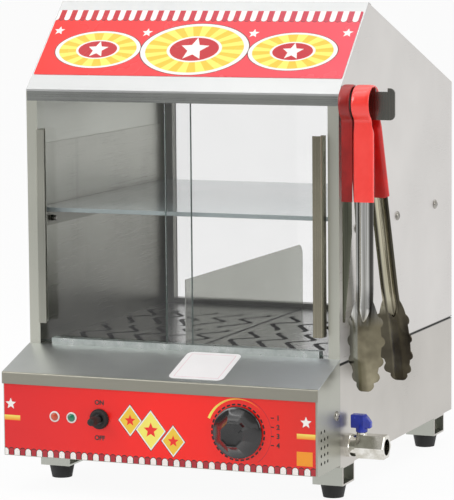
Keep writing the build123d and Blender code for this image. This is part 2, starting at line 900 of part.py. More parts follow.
# Middle rail: flanges on the pan's rim carry both trays, its slot takes the divider.
slot_half = rail_slot / 2
rail_y0 = pan_front + gap
rail_y1 = pan_front + pan_d - gap
with BuildPart(level(0)) as centre_rail:
    block(-rail_top_w / 2, rail_top_w / 2, liner_front, liner_front + tray_d, rim_z, ledge_z)
    block(-slot_half - sheet, slot_half + sheet, rail_y0, rail_y1, ledge_z - rail_depth, ledge_z)
    block(-slot_half, slot_half, rail_y0 + sheet, rail_y1 - sheet,
          ledge_z - rail_depth + sheet, ledge_z + sheet, Mode.SUBTRACT)
centre_rail.part.label = "centre_rail"
export_step(centre_rail.part, "parts/centre_rail.step")

tongue_z = ledge_z - rail_depth + sheet + gap
divider_low = ledge_z + gap
divider_top = tray_z + divider_h
divider_y1 = liner_front + tray_d
with BuildPart() as divider:
    with BuildSketch(side(-divider_t / 2)) as plate:
        outline(
            (liner_front, divider_low),
            (rail_y0 + sheet + gap, divider_low),
            (rail_y0 + sheet + gap, tongue_z),
            (rail_y1 - sheet - gap, tongue_z),
            (rail_y1 - sheet - gap, divider_low),
            (divider_y1, divider_low),
            (divider_y1, divider_top),
            (liner_front, divider_top),
        )
        upper = plate.vertices().group_by(Axis.Y)[-1].sort_by(Axis.X)
        fillet(upper[-1], radius=divider_round)
        fillet(upper[0], radius=2 * sheet)
    extrude(amount=divider_t)
divider.part.label = "divider"
export_step(divider.part, "parts/divider.step")

# =====================================================================
# Console
# =====================================================================


def under_top(y, t):
    """Height of the sloping top plate at depth y, t below its upper face."""
    return sill_z + y * math.tan(console_pitch) - t / math.cos(console_pitch)


hole = gap / 2
side_vents = [(-y, vent_low + vent_pitch * i) for y in vent_xs for i in range(5)]
side_vents.remove((-vent_xs[-1], vent_low + vent_pitch * 4))

# Console body: panel, floor and two sides, open at the top and at the back.
with BuildPart(level(0)) as console_body:
    with BuildSketch(side(-half_w)):
        outline(
            (panel_y, console_low),
            (0, console_low),
            (0, under_top(0, top_t)),
            (panel_y, under_top(panel_y, top_t)),
        )
    extrude(amount=cab_w)
    block(-wall_in, wall_in, panel_y + sheet, sheet, console_low + sheet, header_z, Mode.SUBTRACT)
    with BuildSketch(upright(panel_y)):
        with Locations((knob_x, knob_z)):
            Circle(shaft_d / 2 + panel_cut)
        with Locations(*[(x, lamp_z) for x in lamp_xs]):
            Circle(lamp_body_r + hole)
        with Locations((switch_x, switch_z)):
            Circle(bushing_r + hole)
    extrude(amount=-sheet, mode=Mode.SUBTRACT)
    with BuildSketch(side(-half_w)):
        with Locations(*side_vents):
            Circle(vent_d / 2)
        with Locations((-console_screw_y, tab_mid)):
            Circle(screw_d / 2 + hole)
    extrude(amount=cab_w, mode=Mode.SUBTRACT)
console_body.part.label = "console_body"
export_step(console_body.part, "parts/console_body.step")

# Sloping top plate with a folded front lip.
with BuildPart() as console_top:
    with BuildSketch(side(-half_w - top_over)) as fold:
        outline(
            (0, sill_z),
            (-lip_y, lip_top),
            (-lip_y, lip_top - lip_h),
            (top_t - lip_y, lip_top - lip_h),
            (top_t - lip_y, under_top(top_t - lip_y, top_t)),
            (0, under_top(0, top_t)),
        )
        fillet(fold.vertices().sort_by(Axis.X)[:2].sort_by(Axis.Y)[-1], radius=1.5 * top_t)
    extrude(amount=cab_w + 2 * top_over)
console_top.part.label = "console_top"
export_step(console_top.part, "parts/console_top.step")

plate_plane = Plane(
    origin=(cab_x, front_y, base_z + sill_z),
    x_dir=(1, 0, 0),
    z_dir=(0, -math.sin(console_pitch), math.cos(console_pitch)),
)
with BuildPart() as console_label:
    with BuildSketch(plate_plane):
        with Locations((label_x, -label_l / 2 - sheet)):
            RectangleRounded(label_w, label_l, label_round)
    extrude(amount=label_t)
console_label.part.label = "console_label"
export_step(console_label.part, "parts/console_label.step")

# Printed film on the panel, pierced for the controls.
with BuildPart() as control_overlay:
    with BuildSketch(upright(panel_y)):
        with Locations((overlay_x, console_low + overlay_lift + overlay_h / 2)):
            Rectangle(overlay_w, overlay_h)
        with Locations((knob_x, knob_z)):
            Circle(shaft_d / 2 + panel_cut, mode=Mode.SUBTRACT)
        with Locations(*[(x, lamp_z) for x in lamp_xs]):
            Circle(lamp_body_r + hole, mode=Mode.SUBTRACT)
        with Locations((switch_x, switch_z)):
            Circle(bushing_r + hole, mode=Mode.SUBTRACT)
    extrude(amount=film)
control_overlay.part.label = "control_overlay"
export_step(control_overlay.part, "parts/control_overlay.step")

# =====================================================================
# Controls
# =====================================================================

body_y = panel_y + sheet
with BuildPart(level(0)) as thermostat_body:
    block(knob_x - thermostat_w / 2, knob_x + thermostat_w / 2, body_y, body_y + thermostat_d,
          knob_z - thermostat_w / 2, knob_z + thermostat_w / 2)
    fillet(thermostat_body.edges().filter_by(Axis.Y), radius=3 * sheet)
    with BuildSketch(upright(body_y)):
        with Locations((knob_x, knob_z)):
            Circle(shaft_d / 2 + gap)
    extrude(amount=-thermostat_d + bushing_l, mode=Mode.SUBTRACT)
thermostat_body.part.label = "thermostat_body"
export_step(thermostat_body.part, "parts/thermostat_body.step")

shaft_back = body_y + thermostat_d - bushing_l - gap
knob_back = overlay_y - gap
with BuildPart() as thermostat_shaft:
    with BuildSketch(upright(shaft_back)):
        with Locations((knob_x, knob_z)):
            Circle(shaft_d / 2)
    extrude(amount=shaft_back - overlay_y + knob_out / 2)
thermostat_shaft.part.label = "thermostat_shaft"
export_step(thermostat_shaft.part, "parts/thermostat_shaft.step")

# Knob: a round skirt, eight flanks that slope up to a flat face, and a pointer bar.
grip_h = knob_out - gap - knob_skirt
grip_fall = (grip_r - grip_face_r) * math.cos(math.pi / grip_facets)
grip_taper = math.degrees(math.atan2(grip_fall, grip_h))
with BuildPart() as thermostat_knob:
    with BuildSketch(upright(knob_back)):
        with Locations((knob_x, knob_z)):
            Circle(knob_r)
    extrude(amount=knob_skirt)
    fillet(thermostat_knob.edges().group_by(Axis.Y)[0], radius=knob_skirt / 2)
    with BuildSketch(upright(knob_back - knob_skirt)):
        with Locations((knob_x, knob_z)):
            RegularPolygon(grip_r, grip_facets, rotation=knob_turn / 2)
    extrude(amount=grip_h, taper=grip_taper)
    chamfer(thermostat_knob.edges().group_by(Axis.Y)[0], length=sheet)
    with BuildSketch(upright(knob_back - knob_out / 2)):
        with Locations(Location((knob_x, knob_z), -knob_turn)):
            with Locations((0, pointer_r)):
                Rectangle(pointer_w, pointer_l)
    extrude(amount=knob_out / 2 + pointer_rise)
    with BuildSketch(upright(knob_back)):
        with Locations((knob_x, knob_z)):
            Circle(shaft_d / 2)
    extrude(amount=knob_out / 2 - gap, mode=Mode.SUBTRACT)
thermostat_knob.part.label = "thermostat_knob"
export_step(thermostat_knob.part, "parts/thermostat_knob.step")

# Sensing bulb in the water and its capillary from the thermostat.
bulb_y = pan_front + 3 * bulb_d
with BuildPart() as thermostat_bulb:
    with BuildLine(side(bulb_x)) as capillary:
        FilletPolyline(
            (body_y + thermostat_d, knob_z + thermostat_w / 4),
            (panel_y / 2, knob_z + thermostat_w / 4),
            (panel_y / 2, water_z),
            (bulb_y + bulb_d, water_z),
            radius=3 * capillary_d,
        )
    with BuildSketch(upright(body_y + thermostat_d)):
        with Locations((bulb_x, knob_z + thermostat_w / 4)):
            Circle(capillary_d / 2)
    sweep(path=capillary.line)
    with BuildSketch(upright(bulb_y)):
        with Locations((bulb_x, water_z)):
            Circle(bulb_d / 2)
    extrude(amount=-bulb_len)
thermostat_bulb.part.label = "thermostat_bulb"
export_step(thermostat_bulb.part, "parts/thermostat_bulb.step")

# Pilot lamps: a white ring and barrel with a coloured lens and a nut behind.
for name, x in zip(("pilot_lamp_amber", "pilot_lamp_green"), lamp_xs):
    with BuildPart() as lamp:
        with BuildSketch(upright(overlay_y)):
            with Locations((x, lamp_z)):
                Circle(lamp_ring_r)
        extrude(amount=lamp_ring_h)
        fillet(lamp.edges().group_by(Axis.Y)[0], radius=lamp_ring_h / 3)
        with BuildSketch(upright(overlay_y)):
            with Locations((x, lamp_z)):
                Circle(lamp_body_r)
        extrude(amount=-lamp_body_l)
        with BuildSketch(upright(overlay_y - lamp_ring_h)):
            with Locations((x, lamp_z)):
                Circle(lamp_lens_r)
        extrude(amount=lamp_lens_out - lamp_ring_h)
        fillet(lamp.edges().group_by(Axis.Y)[0], radius=(lamp_lens_out - lamp_ring_h) * 0.8)
        with BuildSketch(upright(body_y)):
            with Locations((x, lamp_z)):
                RegularPolygon(lamp_ring_r, 6, major_radius=False)
                Circle(lamp_body_r, mode=Mode.SUBTRACT)
        extrude(amount=-2 * lamp_ring_h)
    lamp.part.label = name
    export_step(lamp.part, f"parts/{name}.step")

# Power switch: box and threaded bushing behind the panel.
with BuildPart(level(0)) as switch_body:
    block(switch_x - switch_box_w / 2, switch_x + switch_box_w / 2, body_y, body_y + switch_box_d,
          switch_z - switch_box_h / 2, switch_z + switch_box_h / 2)
    with BuildSketch(upright(body_y)):
        with Locations((switch_x, switch_z)):
            Circle(bushing_r)
    extrude(amount=film + switch_collar_h)
    with BuildSketch(upright(overlay_y - switch_collar_h)):
        with Locations((switch_x, switch_z)):
            Circle(bushing_r - bushing_wall)
    extrude(amount=-switch_collar_h - film - 3 * sheet, mode=Mode.SUBTRACT)
switch_body.part.label = "switch_body"
export_step(switch_body.part, "parts/switch_body.step")

# Ribbed rubber collar screwed over the bushing.
with BuildPart() as switch_collar:
    with BuildSketch(upright(overlay_y)):
        with Locations((switch_x, switch_z)):
            Circle(switch_collar_r)
            Circle(bushing_r, mode=Mode.SUBTRACT)
    extrude(amount=switch_collar_h / 2)
    with BuildSketch(upright(overlay_y - switch_collar_h / 2)):
        with Locations((switch_x, switch_z)):
            Circle(switch_collar_r - 2 * sheet)
            Circle(bushing_r, mode=Mode.SUBTRACT)
    extrude(amount=switch_collar_h / 2)
    fillet(switch_collar.edges().filter_by(GeomType.CIRCLE).group_by(Axis.Y)[0], radius=sheet / 2)
switch_collar.part.label = "switch_collar"
export_step(switch_collar.part, "parts/switch_collar.step")

# Lever in its rubber sleeve, turning in the bushing.
lever_y = overlay_y - switch_collar_h / 2
lever_root = overlay_y + film + 2 * sheet
lever_pivot = overlay_y - lever_seat
with BuildPart() as switch_lever:
    with BuildSketch(side(switch_x)):
        with BuildLine():
            tip = overlay_y - lever_len
            Line((lever_root, switch_z), (tip, switch_z))
            CenterArc((tip + lever_tip_r, switch_z), lever_tip_r, 90, 90)
            Line((tip + lever_tip_r, switch_z + lever_tip_r), (lever_y - 4 * sheet, switch_z + lever_root_r))
            Line((lever_y - 4 * sheet, switch_z + lever_root_r), (lever_root, switch_z + sheet))
            Line((lever_root, switch_z + sheet), (lever_root, switch_z))
        make_face()
    revolve(axis=Axis(side(switch_x).from_local_coords((0, switch_z, 0)), (0, 1, 0)))
    with Locations(level(switch_z) * Location((switch_x, lever_pivot, 0))):
        Sphere(bushing_r - bushing_wall - gap)
switch_lever.part.label = "switch_lever"
export_step(switch_lever.part, "parts/switch_lever.step")

# Cable gland in the rear wall.
with BuildPart() as cable_gland:
    with BuildSketch(upright(cab_d)):
        with Locations((gland_x, gland_z)):
            RegularPolygon(gland_af / 2, 6, major_radius=False)
    extrude(amount=-gland_out * 0.45)
    with BuildSketch(upright(cab_d)):
        with Locations((gland_x, gland_z)):
            Circle(gland_af / 2 - sheet)
    extrude(amount=-gland_out)
    fillet(cable_gland.edges().group_by(Axis.Y)[-1], radius=2 * sheet)
    with BuildSketch(upright(cab_d)):
        with Locations((gland_x, gland_z)):
            Circle(gland_thread_r)
    extrude(amount=gland_out * 0.8)
    with BuildSketch(upright(cab_d - sheet)):
        with Locations((gland_x, gland_z)):
            RegularPolygon(gland_af / 2, 6, major_radius=False)
    extrude(amount=gland_out * 0.35)
    with BuildSketch(upright(cab_d + gland_out)):
        with Locations((gland_x, gland_z)):
            Circle(gland_bore_r)
    extrude(amount=2 * gland_out, mode=Mode.SUBTRACT)
cable_gland.part.label = "cable_gland"
export_step(cable_gland.part, "parts/cable_gland.step")

# =====================================================================
# Drain
# =====================================================================

valve_x0 = half_w + fitting_len
socket_l = 2 * fitting_len

# Pipe from the pan's floor down and out to the wall fitting.
with BuildPart() as drain_pipe:
    with BuildLine(upright(valve_y)) as drain_path:
        FilletPolyline(
            (drain_x, pan_floor - pan_sheet),
            (drain_x, valve_z),
            (wall_in - socket_l, valve_z),
            radius=drain_bend,
        )
    with BuildSketch(level(pan_floor - pan_sheet)):
        with Locations((drain_x, valve_y)):
            Circle(drain_r)
            Circle(drain_r - drain_wall, mode=Mode.SUBTRACT)
    sweep(path=drain_path.line)
drain_pipe.part.label = "drain_pipe"
export_step(drain_pipe.part, "parts/drain_pipe.step")

# Wall fitting: hexagon outside, thread through the wall, locknut inside.
with BuildPart() as drain_fitting:
    with BuildSketch(side(half_w)):
        with Locations((valve_y, valve_z)):
            RegularPolygon(fitting_af / 2, 6, major_radius=False)
    extrude(amount=fitting_len)
    chamfer(drain_fitting.edges().group_by(Axis.X)[-1], length=sheet)
    with BuildSketch(side(half_w)):
        with Locations((valve_y, valve_z)):
            Circle(fitting_thread_r)
    extrude(amount=-sheet - socket_l - fitting_len)
    with BuildSketch(side(wall_in)):
        with Locations((valve_y, valve_z)):
            RegularPolygon(fitting_af / 2, 6, major_radius=False)
    extrude(amount=-fitting_len)
    with BuildSketch(side(valve_x0)):
        with Locations((valve_y, valve_z)):
            Circle(drain_r - drain_wall)
    extrude(amount=-2 * fitting_len - sheet - socket_l, mode=Mode.SUBTRACT)
    with BuildSketch(side(wall_in - socket_l)):
        with Locations((valve_y, valve_z)):
            Circle(drain_r + gap / 2)
    extrude(amount=-fitting_len, mode=Mode.SUBTRACT)
drain_fitting.part.label = "drain_fitting"
export_step(drain_fitting.part, "parts/drain_fitting.step")

# Ball valve: round neck, hexagonal body, boss for the stem, open outlet.
ball_x = half_w + stem_x
boss_z = valve_z + valve_af / 2 + boss_h
with BuildPart() as valve_body:
    with BuildSketch(side(valve_x0 + valve_round_len)):
        with Locations((valve_y, valve_z)):
            RegularPolygon(valve_af / 2, 6, major_radius=False)
    extrude(amount=valve_len - valve_round_len)
    chamfer(valve_body.edges().group_by(Axis.X)[-1], length=sheet)
    with BuildSketch(side(valve_x0)):
        with Locations((valve_y, valve_z)):
            Circle(valve_round_r)
    extrude(amount=valve_round_len)
    with BuildSketch(level(valve_z)):
        with Locations((ball_x, valve_y)):
            Circle(boss_r)
    extrude(amount=boss_z - valve_z)
    with BuildSketch(side(valve_x0)):
        with Locations((valve_y, valve_z)):
            Circle(valve_bore_r)
    extrude(amount=valve_len, mode=Mode.SUBTRACT)
    with BuildSketch(side(valve_x0 + valve_len)):
        with Locations((valve_y, valve_z)):
            Circle(outlet_r)
    extrude(amount=-outlet_len, mode=Mode.SUBTRACT)
    with BuildSketch(level(valve_z)):
        with Locations((ball_x, valve_y)):
            Circle(stem_r + gap)
    extrude(amount=boss_z - valve_z, mode=Mode.SUBTRACT)
    with Locations(level(valve_z) * Location((ball_x, valve_y, 0))):
        Sphere(ball_r + gap, mode=Mode.SUBTRACT)
valve_body.part.label = "valve_body"
export_step(valve_body.part, "parts/valve_body.step")

ball_flat = ball_r - sheet
with BuildPart() as valve_ball:
    with Locations(level(valve_z) * Location((ball_x, valve_y, 0))):
        Sphere(ball_r)
    with BuildSketch(side(valve_x0)):
        with Locations((valve_y, valve_z)):
            Circle(ball_bore_r)
    extrude(amount=valve_len, mode=Mode.SUBTRACT)
    split(bisect_by=level(valve_z + ball_flat), keep=Keep.BOTTOM)
valve_ball.part.label = "valve_ball"
export_step(valve_ball.part, "parts/valve_ball.step")

handle_z = boss_z + gap
with BuildPart() as valve_stem:
    with BuildSketch(level(valve_z + ball_flat)):
        with Locations((ball_x, valve_y)):
            Circle(stem_r)
    extrude(amount=handle_z + handle_h * 0.7 - valve_z - ball_flat)
valve_stem.part.label = "valve_stem"
export_step(valve_stem.part, "parts/valve_stem.step")

# Butterfly handle, in line with the outlet when the valve is open.
with BuildPart() as valve_handle:
    with BuildSketch(level(handle_z)):
        with Locations((ball_x, valve_y)):
            Circle(boss_r + sheet)
    extrude(amount=handle_h * 0.9)
    with BuildSketch(level(handle_z + 2 * boss_h)):
        with Locations((ball_x, valve_y)):
            SlotOverall(handle_w, handle_t)
    extrude(amount=handle_h - 2 * boss_h)
    fillet(valve_handle.edges().group_by(Axis.Z)[-1], radius=1.5 * sheet)
    with BuildSketch(level(handle_z)):
        with Locations((ball_x, valve_y)):
            Circle(stem_r)
    extrude(amount=handle_h * 0.7, mode=Mode.SUBTRACT)
valve_handle.part.label = "valve_handle"
export_step(valve_handle.part, "parts/valve_handle.step")

# =====================================================================
# Tong hook and tongs
# =====================================================================

# Hook: an upright plate standing out from the wall, with a dip and a nib at its end.
with BuildPart() as tong_hook:
    with BuildSketch(upright(loop_y + hook_t / 2)) as hook_plate:
        outline(
            (half_w, hook_top - hook_h),
            (half_w + hook_len, hook_top - hook_h),
            (half_w + hook_len, hook_top),
            (half_w + hook_len - hook_nib_w, hook_top),
            (half_w + hook_len - hook_nib_w, hook_top - hook_dip),
            (outer_x + outer_sleeve_w / 2 + hook_play, hook_top - hook_dip),
            (outer_x + outer_sleeve_w / 2 + hook_play, hook_top),
            (half_w, hook_top),
        )
        far = hook_plate.vertices().group_by(Axis.X)[-1].sort_by(Axis.Y)
        fillet(far, radius=3 * hook_t)
    extrude(amount=hook_t)
    with BuildSketch(side(half_w)):
        with Locations((loop_y + hook_foot / 2, hook_top - hook_h / 2)):
            Rectangle(hook_foot, hook_h)
    extrude(amount=hook_t)
tong_hook.part.label = "tong_hook"
export_step(tong_hook.part, "parts/tong_hook.step")


def arm_plane(x, front):
    """Plane of one arm at x, through the loop's centre: local x away from the other arm."""
    lean = math.radians(outer_splay if x > (outer_x + inner_x) / 2 else inner_splay)
    if front:
        away = (0, -1, 0)
        normal = (-1, 0, 0)
    else:
        away = (0, math.cos(lean), math.sin(lean))
        normal = (1, 0, 0)
    centre = (cab_x + x, front_y + loop_y, base_z + loop_z)
    return Plane(origin=centre, x_dir=away, z_dir=normal)


def strip(radius, offset, thick, top_angle, reach):
    """A bent strip: an arc round the loop's centre, a neck and a straight arm."""
    drop = math.sqrt((radius + neck_r) ** 2 - (offset + neck_r) ** 2)
    turn = math.degrees(math.atan2(drop, offset + neck_r))
    neck = (offset + neck_r, -drop)
    half = thick / 2
    with BuildLine() as border:
        outer = CenterArc((0, 0), radius + half, -turn, turn + top_angle)
        CenterArc(neck, neck_r - half, 180 - turn, turn)
        Line((offset + half, -drop), (offset + half, -reach))
        Line((offset + half, -reach), (offset - half, -reach))
        Line((offset - half, -reach), (offset - half, -drop))
        CenterArc(neck, neck_r + half, 180 - turn, turn)
        inner = CenterArc((0, 0), radius - half, -turn, turn + top_angle)
        Line(inner @ 1, outer @ 1)
    make_face(border.edges())


def trough(offset, width, sag):
    """Cross-section of a pressed arm: a shallow arc, bulging away from the other arm."""
    with BuildLine() as border:
        ThreePointArc((offset - sag, -width / 2), (offset + band_t / 2, 0), (offset - sag, width / 2))
        Line((offset - sag, width / 2), (offset - sag - band_t, width / 2))
        ThreePointArc((offset - sag - band_t, width / 2), (offset - band_t / 2, 0),
                      (offset - sag - band_t, -width / 2))
        Line((offset - sag - band_t, -width / 2), (offset - sag, -width / 2))
    make_face(border.edges())


def across(x, front, s):
    """Cross-section plane of an arm, s below the loop's centre, normal towards the tip."""
    plane = arm_plane(x, front)
    origin = plane.from_local_coords((0, -s, 0))
    return Plane(origin=origin, x_dir=plane.x_dir, z_dir=-plane.y_dir)


def face_on(x, front):
    """Plane of an arm seen from outside: local x along the band's width, local y up."""
    plane = arm_plane(x, front)
    origin = plane.from_local_coords((4 * loop_r, 0, 0))
    return Plane(origin=origin, x_dir=plane.z_dir, z_dir=-plane.x_dir)


for front, radius, offset, top_angle, reach, sleeve_reach in (
    (True, loop_r, front_offset, loop_end, front_reach, front_sleeve),
    (False, root_r, rear_offset, root_end, rear_reach, rear_sleeve),
):
    end = "front" if front else "rear"
    flip = -1 if front else 1

    # Outer pair: flat band at the top, pressed arm, scalloped spoon at the end.
    head_mid = reach - head_len / 2
    flare_s = reach - head_len - 0.3 * head_flare
    with BuildPart() as outer_arm:
        with BuildSketch(arm_plane(outer_x - flip * outer_band / 2, front)):
            strip(radius, offset, band_t, top_angle, arm_start + arm_sag)
        extrude(amount=outer_band)
        with BuildSketch(across(outer_x, front, arm_start)):
            trough(offset, outer_band + 2 * sleeve_t, arm_sag)
        extrude(amount=flare_s - arm_start)
        with BuildSketch(across(outer_x, front, flare_s)):
            trough(offset, outer_band + 2 * sleeve_t, arm_sag)
        with BuildSketch(across(outer_x, front, flare_s + head_flare)):
            trough(offset, outer_head, head_sag)
        loft()
        with BuildSketch(across(outer_x, front, flare_s + head_flare)):
            trough(offset, outer_head, head_sag)
        extrude(amount=reach - flare_s - head_flare + lobe_r)
        with BuildSketch(face_on(outer_x, front)):
            with Locations((0, -head_mid)):
                Ellipse(outer_head / 2 - lobe_r / 2, head_len / 2 - lobe_r / 2)
                for i in range(plain_lobes, lobes - plain_lobes):
                    t = 2 * math.pi * (i + 0.5) / lobes
                    with Locations(((outer_head / 2 - lobe_r) * math.sin(t),
                                    (head_len / 2 - lobe_r) * math.cos(t))):
                        Circle(lobe_r)
            with Locations((0, head_len / 4 - head_mid)):
                Rectangle(outer_band + 2 * sleeve_t, reach, align=(Align.CENTER, Align.MIN))
        extrude(amount=8 * loop_r, mode=Mode.INTERSECT)
    outer_arm.part.label = f"outer_tongs_{end}_arm"
    export_step(outer_arm.part, f"parts/outer_tongs_{end}_arm.step")

    with BuildPart() as outer_sleeve:
        with BuildSketch(arm_plane(outer_x - flip * (outer_band / 2 + sleeve_t), front)):
            strip(radius, offset, band_t + 2 * sleeve_t, top_angle, arm_start + arm_sag)
        extrude(amount=outer_band + 2 * sleeve_t)
        with BuildSketch(across(outer_x, front, neck_r + loop_r)):
            with Locations((offset - arm_sag / 2, 0)):
                RectangleRounded(arm_sag + 2 * band_t + 2 * sleeve_t, outer_sleeve_w, sleeve_t)
        extrude(amount=sleeve_reach - neck_r - loop_r)
        add(outer_arm.part, mode=Mode.SUBTRACT)
    outer_sleeve.part.label = f"outer_tongs_{end}_sleeve"
    export_step(outer_sleeve.part, f"parts/outer_tongs_{end}_sleeve.step")

    # Inner pair: slimmer, of flat strip, tapering to narrow tips beside the wall.
    wall_side = inner_x - inner_band / 2
    inner_reach = reach - inner_short
    with BuildPart() as inner_arm:
        with BuildSketch(arm_plane(inner_x - flip * inner_band / 2, front)):
            strip(radius, offset, band_t, top_angle, inner_reach)
        extrude(amount=inner_band)
        with BuildSketch(face_on(wall_side, front)):
            outline(
                (0, 2 * loop_r),
                (-inner_band, 2 * loop_r),
                (-inner_band, -inner_shoulder),
                (-inner_tip, -inner_reach),
                (0, -inner_reach),
            )
            if not front:
                mirror(about=Plane.YZ, mode=Mode.REPLACE)
        extrude(amount=8 * loop_r, mode=Mode.INTERSECT)
    inner_arm.part.label = f"inner_tongs_{end}_arm"
    export_step(inner_arm.part, f"parts/inner_tongs_{end}_arm.step")

    with BuildPart() as inner_sleeve:
        with BuildSketch(arm_plane(inner_x - flip * (inner_band / 2 + sleeve_t), front)):
            strip(radius, offset, band_t + 2 * sleeve_t, top_angle, sleeve_reach)
        extrude(amount=inner_band + 2 * sleeve_t)
        add(inner_arm.part, mode=Mode.SUBTRACT)
    inner_sleeve.part.label = f"inner_tongs_{end}_sleeve"
    export_step(inner_sleeve.part, f"parts/inner_tongs_{end}_sleeve.step")
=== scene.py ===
import math

import bpy
from mathutils import Matrix, Vector


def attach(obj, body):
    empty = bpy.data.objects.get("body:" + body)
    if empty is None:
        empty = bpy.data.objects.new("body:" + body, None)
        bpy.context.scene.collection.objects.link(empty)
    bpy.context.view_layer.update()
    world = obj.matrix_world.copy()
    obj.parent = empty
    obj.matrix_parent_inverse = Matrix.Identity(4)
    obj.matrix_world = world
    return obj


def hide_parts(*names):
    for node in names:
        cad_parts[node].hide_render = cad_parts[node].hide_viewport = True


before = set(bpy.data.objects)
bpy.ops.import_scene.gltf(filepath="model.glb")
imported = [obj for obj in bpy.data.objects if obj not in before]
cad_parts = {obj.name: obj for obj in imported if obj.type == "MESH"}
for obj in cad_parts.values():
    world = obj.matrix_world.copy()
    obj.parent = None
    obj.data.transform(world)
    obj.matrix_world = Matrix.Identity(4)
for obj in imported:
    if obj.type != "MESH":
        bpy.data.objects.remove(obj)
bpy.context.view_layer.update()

# ---- Sizes, in millimetres counted from the cabinet: x from its middle, y back
# from the faces of the door posts, z up from the underside of its base.

CAB_X, FRONT_Y, BASE_Z = -30.5, -165.55, 39.5
HALF_W = 197.0
RIDGE_Y, RIDGE_Z, EAVE_Z = 102.6, 531.1, 430.3
FRONT_PITCH = math.atan2(RIDGE_Z - EAVE_Z, RIDGE_Y)
OVERLAY_Y = -72.9
KNOB = (100.5, 48.5)
LAMP_XS, LAMP_Z = (-130.3, -108.5), 53.0
SWITCH = (-72.8, 53.6)
LOOP_Y, LOOP_Z = 10.0, 419.8
LEAN, NEAR_LEAN = math.radians(18.0), math.radians(9.0)
OUTER_X, INNER_X = HALF_W + 28.7, HALF_W + 9.1
MARK_ZS = [67.5 - 10.5 * i for i in range(4)]
# tong arms, front (True) and rear (False): bend radius, offset and top angle; reach below the loop
BEND = {True: (19.5, 8.6, 185.0), False: (16.0, 13.3, 12.0)}
OUTER_REACH, INNER_REACH = {True: 331.0, False: 357.0}, {True: 251.0, False: 277.0}
SLEEVE_REACH = {True: 112.0, False: 120.5}
BAND_HALF, RIDGE_HALF, RIDGE_RISE = 9.5, 7.0, 4.3
SPOON_HALF_W, SPOON_HALF_L, SPOON_TIP_R = 22.5, 59.0, 11.0
STRIP_W, STRIP_TIP_W, SHOULDER = 11.0, 2.0, 150.0
BALL_X, VALVE_Y, HANDLE_Z = HALF_W + 16.7, 28.0, 38.7
SEAM_Z, LINER_TOP = 119.5, 362.5


def at(x, y, z):
    """A point of the cabinet as a point of the frame, in metres."""
    return Vector(((x + CAB_X) / 1000, (y + FRONT_Y) / 1000, (z + BASE_Z) / 1000))


def ink(code):
    """A colour written as sRGB hex, turned linear."""
    parts = [int(code[i:i + 2], 16) / 255 for i in (1, 3, 5)]
    line = [c / 12.92 if c <= 0.04045 else ((c + 0.055) / 1.055) ** 2.4 for c in parts]
    return (*line, 1.0)


def add_node(tree, kind, inputs=None, **settings):
    """Adds one node and its settings. Inputs are values, sockets, fields or hex colours."""
    node = tree.nodes.new(kind)
    for name, value in settings.items():
        setattr(node, name, value)
    for key, value in (inputs or {}).items():
        value = getattr(value, "socket", value)
        if isinstance(value, str) and value.startswith("#"):
            value = ink(value)
        if isinstance(value, bpy.types.NodeSocket):
            tree.links.new(value, node.inputs[key])
        else:
            node.inputs[key].default_value = value
    return node


# ---- Patterns: numbers that vary over a surface, made of math nodes


def operator(operation):
    """A method that runs one math operation on a field."""
    return lambda self, *others: self.do(operation, *others)


class Field:
    """A number over the surface, to add, scale and compare; a | b is the larger one."""

    def __init__(self, tree, socket):
        self.tree = tree
        self.socket = socket

    def do(self, operation, *others):
        values = dict(enumerate((self, *others)))
        node = add_node(self.tree, "ShaderNodeMath", values, operation=operation)
        return Field(self.tree, node.outputs[0])

    __add__, __sub__ = operator("ADD"), operator("SUBTRACT")
    __mul__, __truediv__ = operator("MULTIPLY"), operator("DIVIDE")
    __lt__, __gt__ = operator("LESS_THAN"), operator("GREATER_THAN")
    __abs__, __or__ = operator("ABSOLUTE"), operator("MAXIMUM")

    def inside(self, low, high):
        """1 between two bounds and 0 outside them."""
        return (self > low) * (self < high)

    def spread(self, low, high, start=0.0, end=1.0):
        """The field moved from one range to another, held at the ends."""
        node = add_node(self.tree, "ShaderNodeMapRange",
                        {0: self, 1: low, 2: high, 3: start, 4: end})
        return Field(self.tree, node.outputs[0])


def distance(u, v):
    """Distance from the point where both fields are 0."""
    return (u * u + v * v).do("SQRT")


def star(u, v, radius, points=5, waist=0.45):
    """1 inside a star that has one point straight up."""
    step = math.tau / points
    turn = u.do("ARCTAN2", v)
    part = abs((turn + step / 2).do("FLOORED_MODULO", step) - step / 2)
    reach = distance(u, v)
    along, off = reach * part.do("COSINE"), reach * part.do("SINE")
    bite = waist * math.sin(step / 2)
    return (along * bite + off * (1 - waist * math.cos(step / 2))) < radius * bite


def material(name):
    """An empty material and its node tree."""
    mat = bpy.data.materials.new(name)
    mat.use_nodes = True
    mat.node_tree.nodes.clear()
    return mat, mat.node_tree


def finish_surface(mat, shader):
    """Ends the material's tree in a shader and hands the material back."""
    add_node(mat.node_tree, "ShaderNodeOutputMaterial", {"Surface": shader.outputs[0]})
    return mat


def object_point(tree):
    """The point on the piece's own coordinates: three fields in metres."""
    coords = add_node(tree, "ShaderNodeTexCoord")
    split = add_node(tree, "ShaderNodeSeparateXYZ", {0: coords.outputs["Object"]})
    return [Field(tree, split.outputs[i]) for i in range(3)]


def place_on(tree):
    """The surface point as three fields, in cabinet millimetres."""
    x, y, z = (field * 1000 for field in object_point(tree))
    return x - CAB_X, y - FRONT_Y, z - BASE_Z


